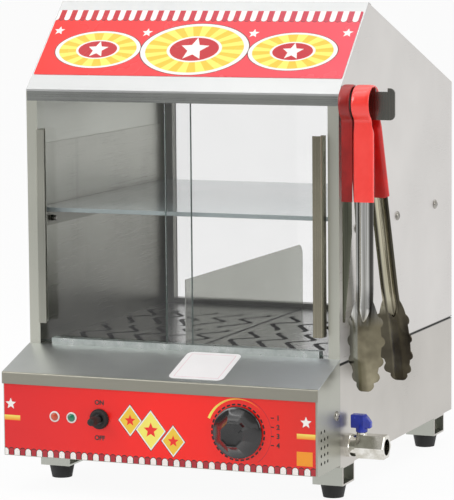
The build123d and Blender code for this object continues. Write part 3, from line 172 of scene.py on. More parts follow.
def noise(tree, scale, detail=4.0, rough=0.55, stretch=(1, 1, 1), lean=0.0):
    """Cloudy noise on the object's own coordinates, leaned back and stretched by axis."""
    coords = add_node(tree, "ShaderNodeTexCoord")
    turned_back = add_node(tree, "ShaderNodeMapping", {
        "Vector": coords.outputs["Object"], "Rotation": (-lean, 0, 0)})
    place = add_node(tree, "ShaderNodeMapping", {
        "Vector": turned_back.outputs[0], "Scale": stretch})
    cloud = add_node(tree, "ShaderNodeTexNoise", {
        "Vector": place.outputs[0], "Scale": scale, "Detail": detail, "Roughness": rough})
    return Field(tree, cloud.outputs["Fac"])


def blend(amount, first, second):
    """A colour between two others."""
    node = add_node(amount.tree, "ShaderNodeMix", {
        0: amount, 6: first, 7: second}, data_type="RGBA")
    return node.outputs[2]


def relief(height, strength, depth=0.0002):
    """A bump from a height field."""
    node = add_node(height.tree, "ShaderNodeBump", {
        "Height": height, "Strength": strength, "Distance": depth})
    return node.outputs[0]


# ---- Finishes


def sheet_tone(tree, grain, pale, dark, wear=0.35):
    """Belt lines and cloudy wear of rolled sheet: its colour and both fields."""
    across = {"x": (5, 1500, 1500), "y": (1500, 5, 1500), "z": (1500, 1500, 5)}[grain]
    lines = noise(tree, 1.6, 3.0, 0.6, across)
    clouds = noise(tree, 7.0, 3.0)
    tone = lines.spread(0.3, 0.7) * wear + clouds.spread(0.3, 0.7) * (1 - wear)
    return blend(tone, dark, pale), lines, clouds


def sheet_surface(mat, colour, lines, clouds, low, high, buckle):
    """Metal sheet with its belt lines, worn spots and a slight buckle."""
    tree = mat.node_tree
    rough = lines.spread(0.3, 0.7, low, high) + clouds.spread(0.35, 0.65, -0.02, 0.02)
    waves = noise(tree, 3.2, 1.0)
    bump = add_node(tree, "ShaderNodeBump", {
        "Height": waves, "Strength": buckle, "Distance": 0.004,
        "Normal": relief(lines, 0.1, 0.00002)})
    shader = add_node(tree, "ShaderNodeBsdfPrincipled", {
        "Base Color": colour, "Metallic": 1.0, "Roughness": rough,
        "Normal": bump.outputs[0]})
    return finish_surface(mat, shader)


def brushed_steel(name, pale, dark, grain="x", low=0.2, high=0.34, buckle=0.08):
    """Stainless sheet with belt lines along one axis."""
    mat, tree = material(name)
    return sheet_surface(mat, *sheet_tone(tree, grain, pale, dark), low, high, buckle)


def wall_steel(name, pale, dark, post, above):
    """Outer wall sheet: the folds at the door posts painted darker as painted shade, and a painted
    shadow line at the seam.
    """
    mat, tree = material(name)
    colour, lines, clouds = sheet_tone(tree, "y", pale, dark, 0.25)
    x, y, z = place_on(tree)
    colour = blend(abs(x) < HALF_W - 0.5, colour, "#B9BBB3")
    # painted shade: the door posts are painted darker than the wall, standing in for dark
    # reflections
    colour = blend(y < 1.6, colour, post)
    # painted shadow: a dark line along the seam between wall and base
    away = (z - SEAM_Z - 1.2) if above else (z * -1 + SEAM_Z)
    colour = blend(away.spread(0.6, 1.5, 1.0, 0.0), colour, "#2E2D2A")
    return sheet_surface(mat, colour, lines, clouds, 0.28, 0.38, 0.06)


def steamed_steel(name, top, foot):
    """Inner wall sheet: painted shade makes it darker and browner towards the pan."""
    mat, tree = material(name)
    upper, lines, clouds = sheet_tone(tree, "y", *top)
    lower, _, _ = sheet_tone(tree, "y", *foot)
    _, _, z = place_on(tree)
    # painted shade: the colour darkens from the top of the liner down towards the pan
    colour = blend(z.spread(SEAM_Z + 20, LINER_TOP - 20, 1.0, 0.0), upper, lower)
    drips = noise(tree, 1.4, 4.0, 0.6, (30, 30, 2))
    colour = blend(drips.spread(0.52, 0.7, 0.0, 0.25), colour, "#5A5A53")
    return sheet_surface(mat, colour, lines, clouds, 0.26, 0.38, 0.12)


def plate_steel(name):
    """Console plate: a painted reflection makes the slope brighter towards the right; warmer and
    darker on its front lip.
    """
    mat, tree = material(name)
    slope, lines, clouds = sheet_tone(tree, "x", "#B0B2B0", "#989A98", 0.3)
    x, y, _ = place_on(tree)
    # painted reflection: the slope is painted brighter towards the right
    slope = blend(x.spread(60.0, 190.0), slope, "#C9CCCE")
    colour = blend(y < -72.6, slope, "#A19F94")
    return sheet_surface(mat, colour, lines, clouds, 0.4, 0.52, 0.08)


def tong_steel(name, clean, brown, low, mid_x, flank, lean=0.0):
    """Polished strip with drawn streaks, painted shade in its creases and on its right flank, and
    a browned spoon with painted light and shade on its flanks.
    """
    mat, tree = material(name)
    streaks = noise(tree, 1.6, 2.0, 0.5, (500, 60, 4), lean)
    stains = noise(tree, 30.0, 3.0, 0.5)
    x, _, z = place_on(tree)
    side = x - mid_x
    shank = blend(streaks.spread(0.35, 0.65), clean[1], clean[0])
    # painted shade: dark lines in the creases beside the ridge
    crease = abs(abs(side) - RIDGE_HALF).spread(0.5, 2.0, 0.85, 0.0)
    shank = blend(crease, shank, "#1F1E1A")
    # painted shade: the right flank of the shank is painted darker
    shank = blend(side.spread(6.6, 7.6, 0.0, 0.8), shank, "#3B3832")
    spoon = blend(stains.spread(0.35, 0.65), brown[1], brown[0])
    # painted light and shade: the spoon's left flank gets its own colour, lit or shaded, and its
    # upper right is painted in shade
    spoon = blend(side.spread(-8.0, -6.5, 0.6, 0.0), spoon, flank)
    shaded = side.spread(6.0, 14.0, 0.0, 0.5) * z.spread(130.0, 160.0)
    spoon = blend(shaded, spoon, brown[1])
    used = z.spread(165.0, 185.0, 1.0, 0.0)
    colour = blend(used, shank, spoon)
    rough = streaks.spread(0.3, 0.7, low, low + 0.05) + used * 0.1
    shader = add_node(tree, "ShaderNodeBsdfPrincipled", {
        "Base Color": colour, "Metallic": 1.0, "Roughness": rough,
        "Normal": relief(streaks, 0.04, 0.00002)})
    return finish_surface(mat, shader)


def cast_metal(name, pale, dark, low=0.06, high=0.2, grit=0.15):
    """Plated or polished fitting with faint pits and handling marks."""
    mat, tree = material(name)
    pits = noise(tree, 420.0, 3.0)
    marks = noise(tree, 60.0, 4.0, 0.65)
    colour = blend(marks.spread(0.35, 0.7), pale, dark)
    rough = marks.spread(0.4, 0.65, low, high)
    shader = add_node(tree, "ShaderNodeBsdfPrincipled", {
        "Base Color": colour, "Metallic": 1.0, "Roughness": rough,
        "Normal": relief(pits, grit, 0.0001)})
    return finish_surface(mat, shader)


def moulded(name, pale, dark, low=0.3, high=0.45, grain=900.0, depth=0.12, coat=0.0):
    """Moulded plastic or rubber: fine skin texture and slightly uneven tone."""
    mat, tree = material(name)
    skin_marks = noise(tree, grain, 2.0)
    tone = noise(tree, 45.0, 3.0)
    colour = blend(tone.spread(0.3, 0.7), dark, pale)
    rough = tone.spread(0.35, 0.65, low, high)
    shader = add_node(tree, "ShaderNodeBsdfPrincipled", {
        "Base Color": colour, "Roughness": rough, "Coat Weight": coat,
        "Coat Roughness": 0.08, "Normal": relief(skin_marks, depth, 0.0001)})
    return finish_surface(mat, shader)


def pane_glass(name, node_name, tint, edge, clearness=1.0):
    """Sheet glass: darker cut edges, faint smears, and lamps shine through it."""
    mat, tree = material(name)
    smears = noise(tree, 14.0, 3.0)
    point = object_point(tree)
    corners = [v.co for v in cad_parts[node_name].data.vertices]
    spans = [(min(c[i] for c in corners), max(c[i] for c in corners), i) for i in range(3)]
    spans.sort(key=lambda span: span[1] - span[0])
    # the cut edges are all that lies outside the two long spans, less a hair
    face = None
    for low, high, i in spans[1:]:
        within = point[i].inside(low + 0.0003, high - 0.0003)
        face = within if face is None else face * within
    colour = blend(smears.spread(0.3, 0.7, 0.0, 0.4), tint, "#FFFFFF")
    clear = add_node(tree, "ShaderNodeBsdfPrincipled", {
        "Base Color": colour, "Transmission Weight": clearness, "IOR": 1.45,
        "Roughness": smears.spread(0.4, 0.8, 0.0, 0.02)})
    lit = add_node(tree, "ShaderNodeBsdfTransparent", {"Color": tint})
    path = add_node(tree, "ShaderNodeLightPath")
    sheet = add_node(tree, "ShaderNodeMixShader", {
        0: path.outputs["Is Shadow Ray"], 1: clear.outputs[0], 2: lit.outputs[0]})
    cut = add_node(tree, "ShaderNodeBsdfPrincipled", {
        "Base Color": edge, "Roughness": 0.25, "Transmission Weight": 0.3, "IOR": 1.45})
    both = add_node(tree, "ShaderNodeMixShader", {
        0: (face * -0.85 + 0.85), 1: sheet.outputs[0], 2: cut.outputs[0]})
    return finish_surface(mat, both)


def printed(mat, colour, low=0.16, high=0.26):
    """Glossy printed film with a faint orange-peel skin."""
    tree = mat.node_tree
    skin_marks = noise(tree, 260.0, 2.0)
    wear = noise(tree, 20.0, 3.0)
    shader = add_node(tree, "ShaderNodeBsdfPrincipled", {
        "Base Color": colour, "Roughness": wear.spread(0.35, 0.65, low, high),
        "Specular IOR Level": 0.5, "Normal": relief(skin_marks, 0.08, 0.0001)})
    return finish_surface(mat, shader)


RED, DEEP_RED, GOLD, PALE_GOLD, ORANGE, CREAM, INK_BROWN = (
    "#F22A22", "#C4222B", "#F3C93C", "#F8EC6C", "#F08A1E", "#F7F3EE", "#5A2A1C")


def sign_print():
    """Front of the roof: striped awning over a red field with sunburst medallions."""
    mat, tree = material("sign_film_print")
    u, y, _ = place_on(tree)
    v = (y * -1 + RIDGE_Y) / math.cos(FRONT_PITCH)
    # painted glare: the film is painted a little paler towards the right, as a painted reflection
    # of light
    painted_glare = u.spread(-195.0, 195.0, 0.0, 0.38)
    colour = blend(painted_glare, RED, "#E8708C")

    # three medallions: a wide one in the middle and one at each side
    for mid, down, half_u, half_v, rays in (
        (0.0, 78.0, 62.0, 37.0, 16), (-124.0, 80.0, 50.0, 27.0, 12), (124.0, 80.0, 50.0, 27.0, 12),
    ):
        a, b = (u - mid) / half_u, (v - down) / half_v
        size = distance(a, b)
        ray = (a.do("ARCTAN2", b) * rays).do("SINE") > 0
        fill = blend(ray, PALE_GOLD, GOLD)
        fill = blend(size < 0.56, fill, CREAM)
        fill = blend(size < 0.5, fill, DEEP_RED)
        fill = blend(star(u - mid, v * -1 + down, half_v * 0.5), fill, CREAM)
        colour = blend(size < 1.12, colour, INK_BROWN)
        colour = blend(size < 1.10, colour, CREAM)
        colour = blend(size < 1.0, colour, fill)

    # small stars between the medallions
    for mid, down in ((-68.0, 52.0), (68.0, 52.0), (-184.0, 50.0), (184.0, 50.0)):
        colour = blend(star(u - mid, v * -1 + down, 7.0), colour, CREAM)

    # awning: stripes that end in round scallops
    pitch, drop = 14.2, 29.5
    part = u.do("FLOORED_MODULO", pitch / 2) - pitch / 4
    edge = (part * part * -1 + (pitch / 4) ** 2 | 0.0).do("SQRT") * 0.9 + drop
    white = (u.do("FLOORED_MODULO", pitch) < pitch / 2)
    # the red awning stripes take the same painted glare towards the right
    stripe = blend(white, blend(painted_glare, DEEP_RED, "#D9607C"), CREAM)
    colour = blend(v < edge + 0.7, colour, INK_BROWN)
    colour = blend(v < edge, colour, stripe)
    return printed(mat, colour, 0.2, 0.3)


def panel_print():
    """Control panel: red field, dial marks, stars, bars and a scalloped lower edge."""
    mat, tree = material("panel_film_print")
    x, _, z = place_on(tree)
    # painted light: the red field is painted brightest in the middle and darker towards both ends
    colour = blend(x.spread(-197.0, 0.0), "#DE1C20", "#FF1E14")
    colour = blend(x.spread(60.0, 195.0), colour, "#E0261A")
    black = "#1B1213"

    # dial: a ring of dashes, a crescent that thins out, and marks at the right
    dx, dz = x - KNOB[0], z - KNOB[1]
    reach, turn = distance(dx, dz), dz.do("ARCTAN2", dx)
    dash = (turn * 30).do("SINE") > -0.45
    colour = blend(reach.inside(31.2, 33.2) * dash, colour, black)
    side_turn = dz.do("ARCTAN2", dx * -1)
    fade = side_turn.spread(0.38, 2.4, 2.6, 0.0)
    glow = blend(side_turn.spread(0.4, 2.2), PALE_GOLD, ORANGE)
    arc = abs(reach - 38.5) < fade / 1.6
    colour = blend(arc * side_turn.inside(0.38, 2.5), colour, glow)
    rim = (abs(reach - 40.8) < 0.35) * turn.inside(-0.95, 1.2)
    colour = blend(rim, colour, DEEP_RED)
    for mark_z in MARK_ZS:
        mark = (abs(z - mark_z) < 0.6) * x.inside(140.5, 144.5)
        colour = blend(mark, colour, black)

    # stars and bars at both ends, a plain square at the lower right
    for sx, sz in ((-187.6, 65.0), (183.2, 64.5)):
        colour = blend(star(x - sx, z - sz, 8.2), colour, DEEP_RED)
        colour = blend(star(x - sx, z - sz, 7.0), colour, CREAM)
    ends = (x < -175.5) | (x > 172.0)
    bar = blend(z.spread(45.5, 51.5), ORANGE, PALE_GOLD)
    colour = blend(ends * z.inside(45.5, 51.5), colour, bar)
    colour = blend(x.inside(171.8, 191.0) * z.inside(14.8, 31.0), colour, "#F59A1E")

    # a badge of three diamonds, each with a star, in the middle of the panel
    for mid, high, half, outer, inner in (
        (-34.0, 54.0, 13.0, CREAM, GOLD), (-8.0, 44.0, 17.0, CREAM, PALE_GOLD),
        (20.0, 33.0, 13.0, CREAM, GOLD),
    ):
        lozenge = abs(x - mid) + abs(z - high) * 0.8
        colour = blend(lozenge < half + 2.6, colour, black)
        colour = blend(lozenge < half + 1.8, colour, outer)
        colour = blend(lozenge < half, colour, inner)
        colour = blend(star(x - mid, z - high, half * 0.55), colour, RED)

    # lower edge: white scallops between darker red ones
    pitch = 14.6
    part = abs((x - 2.1).do("FLOORED_MODULO", pitch) - pitch / 2)
    dome = (part * part * -1 + 12.0 | 0.0).do("SQRT") + 8.6
    low_dome = (part - pitch / 2)
    low_edge = (low_dome * low_dome * -1 + 17.0 | 0.0).do("SQRT") + 8.0
    colour = blend(z < low_edge + 1.0, colour, black)
    colour = blend(z < low_edge, colour, "#B02630")
    colour = blend((z < dome + 0.9) * (part < 4.4), colour, black)
    colour = blend((z < dome) * (part < 3.45), colour, CREAM)
    return printed(mat, colour)


def label_paper():
    """Blank white sticker with a thin pale border."""
    mat, tree = material("blank_label")
    x, y, _ = place_on(tree)
    edge = (abs(x - 44.0) | abs(y + 33.5)).inside(27.0, 28.0)
    fibre = noise(tree, 600.0, 3.0)
    base = blend(fibre, "#F6F2F2", "#FCFAFA")
    colour = blend(edge * 0.5, base, "#E3A9B4")
    shader = add_node(tree, "ShaderNodeBsdfPrincipled", {
        "Base Color": colour, "Roughness": fibre.spread(0.3, 0.7, 0.3, 0.4),
        "Normal": relief(fibre, 0.05, 0.0001)})
    return finish_surface(mat, shader)


def wet_steel(name):
    """Pan and heater rod: dull steel with pale scale left by the water."""
    mat, tree = material(name)
    scale_marks = noise(tree, 34.0, 5.0, 0.65)
    spots = noise(tree, 160.0, 3.0)
    scaled = scale_marks.spread(0.5, 0.68, 0.0, 0.7)
    colour = blend(scaled, "#1E1D1B", "#45433F")
    shader = add_node(tree, "ShaderNodeBsdfPrincipled", {
        "Base Color": colour, "Metallic": 0.9,
        "Roughness": scale_marks.spread(0.4, 0.7, 0.3, 0.55),
        "Normal": relief(spots, 0.15, 0.0003)})
    return finish_surface(mat, shader)


# the fourth colour of each wall is the painted shade of its door posts
OUTER_STEEL = wall_steel("outer_wall_steel", "#DFDCD9", "#CDCAC7", "#D3D4C9", True)
BASE_STEEL = wall_steel("base_wall_steel", "#CCC8C2", "#B4B0AA", "#A5A49C", False)
REAR_STEEL = brushed_steel("rear_sheet_steel", "#DBD8D4", "#C6C3BE", "x", 0.28, 0.38)
FACE_STEEL = brushed_steel("front_folded_steel", "#B9B9AE", "#9E9F97", "z", 0.28, 0.4)
# painted shade: the header rail and front sill steel is painted darker, for the shadow under the
# roof's overhang
SHADED_HEADER_STEEL = brushed_steel("shaded_header_steel", "#B0B2AF", "#989B99", "x", 0.24, 0.34)
ROOF_STEEL = brushed_steel("roof_steel", "#C9CACA", "#B9BABA", "x", 0.38, 0.48)
LINER_STEEL = steamed_steel("liner_steel", ("#B7B8B0", "#9B9C94"), ("#6C6C63", "#504F48"))
INNER_STEEL = brushed_steel("inner_frame_steel", "#7E7E76", "#64645D", "y", 0.28, 0.4)
DIVIDER_STEEL = brushed_steel("divider_steel", "#A9ABA3", "#96988F", "y", 0.05, 0.11, 0.02)
PLATE_STEEL = plate_steel("console_plate_steel")
TRAY_STEEL = brushed_steel("tray_steel", "#73746F", "#555653", "y", 0.18, 0.28)
PULL_STEEL = brushed_steel("pull_steel", "#B4AE9B", "#8E8978", "z", 0.2, 0.3)
# the last colour of each tong steel is the painted light or shade on its spoon's left flank
TONG_STEEL = tong_steel(
    "tong_steel", ("#F2F2F0", "#BDBCB6"), ("#9D967F", "#655E4D"), 0.08, OUTER_X, "#8C8F8A")
SHADED_TONG_STEEL = tong_steel(
    "shaded_tong_steel", ("#CFCAB4", "#928D7A"), ("#75705F", "#48433A"), 0.12, OUTER_X,
    "#3A362E", LEAN)
# painted shade: a darker copy of the tong steel for the inner pair
SHADED_INNER_TONG_STEEL = tong_steel(
    "shaded_inner_tong_steel", ("#7A7C6D", "#55574B"), ("#5E5A4D", "#3E3B33"), 0.2, INNER_X,
    "#5E5A4D")
HOOK_STEEL = brushed_steel("hook_steel", "#8E8E88", "#6C6C67", "z", 0.2, 0.32)
PAN_STEEL = wet_steel("pan_steel")
ELEMENT = wet_steel("element_sheath_finish")
CHROME = cast_metal("chromed_brass_finish", "#EAE8E2", "#BAB5A8", 0.06, 0.16)
SCREW_METAL = cast_metal("screw_metal", "#B9B6B0", "#6E6A63", 0.05, 0.12)
TRACK_METAL = cast_metal("aluminium_strip_finish", "#D9DEDC", "#B9C2BF", 0.25, 0.4)
COPPER = cast_metal("copper_finish", "#C98A63", "#8E5537", 0.2, 0.35)
RUBBER = moulded("black_rubber_finish", "#2A2A29", "#161616", 0.55, 0.75, 700.0, 0.3)
BLACK = moulded("black_plastic_finish", "#1D1D1E", "#131314", 0.14, 0.22, 1200.0, 0.04, 0.4)
NYLON = moulded("black_nylon_finish", "#333332", "#202020", 0.45, 0.6, 900.0, 0.15)
DARK_VINYL = moulded("shaded_red_vinyl_finish", "#D8140D", "#B40D08", 0.3, 0.38, 160.0, 0.05, 0.25)
# painted shade: a darker copy of the red vinyl for the inner pair's sleeves
SHADED_INNER_VINYL = moulded(
    "shaded_inner_red_vinyl_finish", "#A8120D", "#840B07", 0.3, 0.38, 160.0, 0.05, 0.2)
VINYL = moulded("red_vinyl_finish", "#FF4840", "#FA3C34", 0.16, 0.24, 160.0, 0.05, 0.6)
BLUE = moulded("blue_plastic_finish", "#2C44C8", "#1C2C9A", 0.22, 0.34, 500.0, 0.1, 0.2)
WHITE = moulded("white_ring_finish", "#F2F0EC", "#E2DFDA", 0.2, 0.3, 900.0, 0.05, 0.3)
AMBER = moulded("amber_lens_finish", "#D8562F", "#B83C20", 0.12, 0.2, 90.0, 0.25, 0.6)
GREEN = moulded("green_lens_finish", "#1E8A62", "#12694A", 0.12, 0.2, 90.0, 0.25, 0.6)
RIGHT_PANE, LEFT_PANE, REAR_PANE = (
    pane_glass(node_name + "_finish", node_name, "#FBFBFB", "#48665E")
    for node_name in ("door_glass_right", "door_glass_left", "rear_glass"))
SHELF_GLASS = pane_glass("shelf_glass_finish", "glass_shelf", "#C8D4D6", "#B3BFBF", 0.66)
SIGN, PANEL, LABEL = sign_print(), panel_print(), label_paper()

FINISH = {
    OUTER_STEEL: "side_panel_right side_panel_left",
    BASE_STEEL: "base_shell foot_brackets",
    REAR_STEEL: "roof_rear_panel rear_panel",
    ROOF_STEEL: "roof_front_panel",
    SHADED_HEADER_STEEL: "header_rail front_sill",
    FACE_STEEL: "console_body door_handle_left",
    LINER_STEEL: "inner_liners",
    INNER_STEEL: "rear_window_frame shelf_brackets",
    DIVIDER_STEEL: "divider",
    PLATE_STEEL: "console_top",
    TRAY_STEEL: "steam_tray_right steam_tray_left centre_rail",
    PULL_STEEL: "door_handle_right",
    TONG_STEEL: "inner_tongs_front_arm inner_tongs_rear_arm "
                "outer_tongs_front_arm outer_tongs_rear_arm",
    HOOK_STEEL: "tong_hook",
    PAN_STEEL: "water_pan drain_pipe",
    ELEMENT: "heating_element",
    CHROME: "element_nuts drain_fitting valve_body valve_ball valve_stem",
    SCREW_METAL: "dome_screws shelf_nuts foot_bolts thermostat_shaft",
    TRACK_METAL: "door_track",
    COPPER: "thermostat_bulb",
    RUBBER: "rubber_feet switch_collar switch_lever",
    BLACK: "thermostat_knob thermostat_body switch_body",
    NYLON: "cable_gland",
    VINYL: "outer_tongs_front_sleeve outer_tongs_rear_sleeve "
           "inner_tongs_front_sleeve inner_tongs_rear_sleeve",
    BLUE: "valve_handle",
    AMBER: "pilot_lamp_amber",
    GREEN: "pilot_lamp_green",
    RIGHT_PANE: "door_glass_right",
    LEFT_PANE: "door_glass_left",
    REAR_PANE: "rear_glass",
    SHELF_GLASS: "glass_shelf",
    SIGN: "sign_overlay",
    PANEL: "control_overlay",
    LABEL: "console_label",
}
for finish, names in FINISH.items():
    for node_name in names.split():
        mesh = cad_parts[node_name].data
        mesh.materials.clear()
        mesh.materials.append(finish)

# ---- Pieces with finer shapes than the solids


def add_object(name, data):
    """A new object with this data, in the scene."""
    obj = bpy.data.objects.new(name, data)
    bpy.context.scene.collection.objects.link(obj)
    return obj


def new_piece(name, points, faces, finishes, soft_angle, face_finish=None):
    """A mesh object in the frame from cabinet points, smooth up to an angle."""
    mesh = bpy.data.meshes.new(name)
    mesh.from_pydata([at(*p) for p in points], [], faces)
    for finish in finishes:
        mesh.materials.append(finish)
    if face_finish:
        mesh.polygons.foreach_set("material_index", face_finish)
    return smooth_piece(name, mesh, soft_angle)


def smooth_piece(name, mesh, soft_angle):
    """Sets smooth shading with sharp edges kept, and makes the object."""
    mesh.validate()
    mesh.polygons.foreach_set("use_smooth", [True] * len(mesh.polygons))
    mesh.set_sharp_from_angle(angle=math.radians(soft_angle))
    return add_object(name, mesh)


def tube(rings, flip=False):
    """Points and faces of a closed skin through rings of equal length, ends capped."""
    count = len(rings[0])
    points = [p for ring in rings for p in ring]
    faces = []
    for i in range(len(rings) - 1):
        for j in range(count):
            k = (j + 1) % count
            faces.append((i * count + j, i * count + k, (i + 1) * count + k, (i + 1) * count + j))
    last = (len(rings) - 1) * count
    faces.append(tuple(reversed(range(count))))
    faces.append(tuple(last + j for j in range(count)))
    if flip:
        faces = [tuple(reversed(f)) for f in faces]
    return points, faces


def join_parts(*parts):
    """Several (points, faces) lists as one, with the finish number of each face."""
    points, faces, finish = [], [], []
    for number, (more_points, more_faces) in enumerate(parts):
        base = len(points)
        points += more_points
        faces += [tuple(base + i for i in f) for f in more_faces]
        finish += [number] * len(more_faces)
    return points, faces, finish


def circle(count):
    """Even points round a unit circle."""
    turns = [math.tau * j / count for j in range(count)]
    return [(math.cos(a), math.sin(a)) for a in turns]


def turned(cx, cz, profile, count=48):
    """A turned shape that stands out of the panel; profile gives (out, radius)."""
    return tube([[(cx + radius * c, OVERLAY_Y - out, cz + radius * s) for c, s in circle(count)]
                 for out, radius in profile])


def put(piece, body, node):
    """The piece rides on a body and stands in for a node."""
    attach(piece, body)
    if node:
        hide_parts(node)
    return piece


def dial_knob():
    """Control knob: round skirt, eight hollow flanks up to a flat face, pointer block."""
    count, facets = 96, 8
    step = math.tau / facets
    rings = []
    for out, radius, sides in (
        (0.4, 29.0, 0), (0.9, 29.9, 0), (3.0, 30.0, 0), (3.8, 29.4, 0), (4.3, 28.2, 0),
        (4.8, 27.6, 0.1), (6.5, 25.6, 0.55), (9.0, 23.0, 0.85), (12.0, 20.2, 1.0),
        (15.5, 17.5, 1.0), (18.6, 15.5, 1.0), (19.9, 14.8, 1.0), (20.5, 14.3, 1.0),
        (20.7, 13.6, 1.0), (20.3, 11.0, 1.0),
    ):
        ring = []
        for j in range(count):
            turn = math.tau * j / count
            off = (turn + math.radians(22.5)) % step - step / 2
            flat = math.cos(step / 2) / math.cos(off)
            r = radius * ((1 - sides) + sides * flat)
            ring.append((KNOB[0] + r * math.cos(turn), OVERLAY_Y - out,
                         KNOB[1] + r * math.sin(turn)))
        rings.append(ring)
    body = tube(rings)
    tilt = math.radians(45)
    block = []
    for out, grow in ((14.0, 0.0), (21.2, 0.0), (21.8, -0.6)):
        ring = []
        for across, along in ((-3.0, 7.5), (3.0, 7.5), (3.0, 17.0), (-3.0, 17.0)):
            a = across + math.copysign(grow, across)
            b = along + (grow if along > 10 else -grow)
            ring.append((KNOB[0] + b * math.sin(tilt) + a * math.cos(tilt), OVERLAY_Y - out,
                         KNOB[1] + b * math.cos(tilt) - a * math.sin(tilt)))
        block.append(ring)
    points, faces, _ = join_parts(body, tube(block, flip=True))
    piece = new_piece("dial_knob_moulding", points, faces, [BLACK], 24.0)
    return put(piece, "knob", "thermostat_knob")


def pilot_lamp(name, x, lens):
    """Lamp: a white ring with a rounded lip, a domed lens, barrel and nut behind."""
    ring = turned(x, LAMP_Z, (
        (-3.6, 6.4), (-0.41, 6.4), (-0.4, 4.6), (0.0, 4.6), (0.05, 6.3), (0.5, 6.5), (1.1, 6.4),
        (1.5, 5.9), (1.6, 5.3), (1.4, 4.7), (0.6, 4.5)))
    glass = turned(x, LAMP_Z, (
        (-20.0, 4.4), (0.8, 4.5), (1.6, 4.4), (2.2, 3.9), (2.6, 3.0), (2.9, 1.6), (3.0, 0.4)))
    points, faces, finish = join_parts(ring, glass)
    piece = new_piece(name + "_turned", points, faces, [WHITE, lens], 50.0, finish)
    return put(piece, "cabinet", name)


def lever_boot():
    """Toggle lever in a rubber boot with three soft folds and a round end."""
    profile = [(-2.3, 0.8), (-1.4, 2.4), (0.0, 3.6), (1.5, 3.7), (3.0, 3.4)]
    for i in range(25):
        out = 4.0 + i * 0.5
        profile.append((out, 3.6 + 0.06 * i + 0.35 * math.sin(out * 1.7)))
    profile += [(20.0, 4.5), (22.5, 4.6), (24.2, 4.4), (25.6, 3.8), (26.4, 2.8), (26.9, 1.4),
                (27.0, 0.3)]
    points, faces = turned(*SWITCH, profile, 32)
    return put(new_piece("lever_boot_rubber", points, faces, [RUBBER], 60.0),
               "switch_lever", "switch_lever")


def wing_handle():
    """Valve handle: a thick flat wing, a slanted end with a sloping top, a round hub."""
    rings = []
    plan = ((-11.9, 4.9, 19.9), (-11.2, 5.7, 20.5), (3.4, 5.7, 20.5), (4.2, 5.1, 20.3),
            (7.4, 4.2, 17.4), (10.8, 3.6, 13.6), (11.9, 2.6, 12.4))
    for dx, half, top in plan:
        low = 5.0 if abs(dx) < 11.5 else 5.8
        outline = ((-half, low + 0.7), (-half + 0.7, low), (half - 0.7, low), (half, low + 0.7),
                   (half, top - 0.7), (half - 0.7, top), (-half + 0.7, top), (-half, top - 0.7))
        rings.append([(BALL_X + dx, VALVE_Y + y, HANDLE_Z + z) for y, z in outline])
    wings = tube(rings)
    hub = [[(BALL_X + r * c, VALVE_Y + r * s, HANDLE_Z + z) for c, s in circle(32)] for z, r in (
        (0.05, 6.4), (0.6, 6.9), (6.0, 6.9), (9.0, 6.0), (15.0, 5.2), (17.4, 4.9), (17.8, 4.4))]
    points, faces, _ = join_parts(wings, tube(hub))
    return put(new_piece("wing_handle_moulding", points, faces, [BLUE], 24.0),
               "drain_valve", "valve_handle")


# ---- tongs


def arm_point(x, front, away, wide, down):
    """A point of a tong arm: away from the other arm, across the band, down from the loop."""
    if front:
        return (x + wide, LOOP_Y - away, LOOP_Z - down)
    lean = LEAN if x == OUTER_X else NEAR_LEAN
    return (x + wide, LOOP_Y + away * math.cos(lean) + down * math.sin(lean),
            LOOP_Z + away * math.sin(lean) - down * math.cos(lean))


def arm_line(radius, offset, top_angle, reach, step=2.5):
    """Middle line of a bent arm: (away, down, outward away, outward down) for each step."""
    neck_r = 8.0
    drop = math.sqrt((radius + neck_r) ** 2 - (offset + neck_r) ** 2)
    turn = math.degrees(math.atan2(drop, offset + neck_r))
    line = []
    steps = max(4, int((top_angle + turn) / 6))
    for i in range(steps + 1):
        a = math.radians(top_angle - (top_angle + turn) * i / steps)
        line.append((radius * math.cos(a), -radius * math.sin(a), math.cos(a), -math.sin(a)))
    for i in range(1, 7):
        a = math.radians(180 - turn + turn * i / 6)
        line.append((offset + neck_r + neck_r * math.cos(a), drop - neck_r * math.sin(a),
                     -math.cos(a), math.sin(a)))
    down = drop
    while down < reach - 0.01:
        down = min(reach, down + step)
        line.append((offset, down, 1.0, 0.0))
    return line


def spoon_half(down, mid, half_w=SPOON_HALF_W, half_l=SPOON_HALF_L, lobe=7.0, lobes=14,
               plain=2):
    """Half width of the lobed spoon at one height."""
    d = down - mid
    inner_w, inner_l = half_w - lobe / 2, half_l - lobe / 2
    best = inner_w * math.sqrt(max(0.0, 1 - (d / inner_l) ** 2))
    for i in range(plain, lobes - plain):
        t = math.tau * (i + 0.5) / lobes
        cx, cd = (half_w - lobe) * math.sin(t), -(half_l - lobe) * math.cos(t)
        if abs(d - cd) < lobe:
            best = max(best, abs(cx) + math.sqrt(lobe ** 2 - (d - cd) ** 2) if cx >= 0 else 0.0)
    return best


def smooth_step(value, start, end):
    """0 before the start, 1 past the end, and a soft rise between them."""
    t = min(1.0, max(0.0, (value - start) / (end - start)))
    return t * t * (3 - 2 * t)


def sheet_piece(name, node, body, rows, finish, thickness=0.0012):
    """A grid of points made a sheet of even thickness, in place of a tong arm."""
    columns = len(rows[0])
    faces = []
    for i in range(len(rows) - 1):
        for j in range(columns - 1):
            a = i * columns + j
            faces.append((a, a + 1, a + columns + 1, a + columns))
    mesh = bpy.data.meshes.new(name)
    mesh.from_pydata([at(*p) for row in rows for p in row], [], faces)
    mesh.materials.append(finish)
    shell = add_object(name + "_sheet", mesh)
    thick = shell.modifiers.new("thickness", "SOLIDIFY")
    thick.thickness, thick.offset = thickness, 0.0
    return put(smooth_piece(name, plain_copy(shell, name), 38.0), body, node)


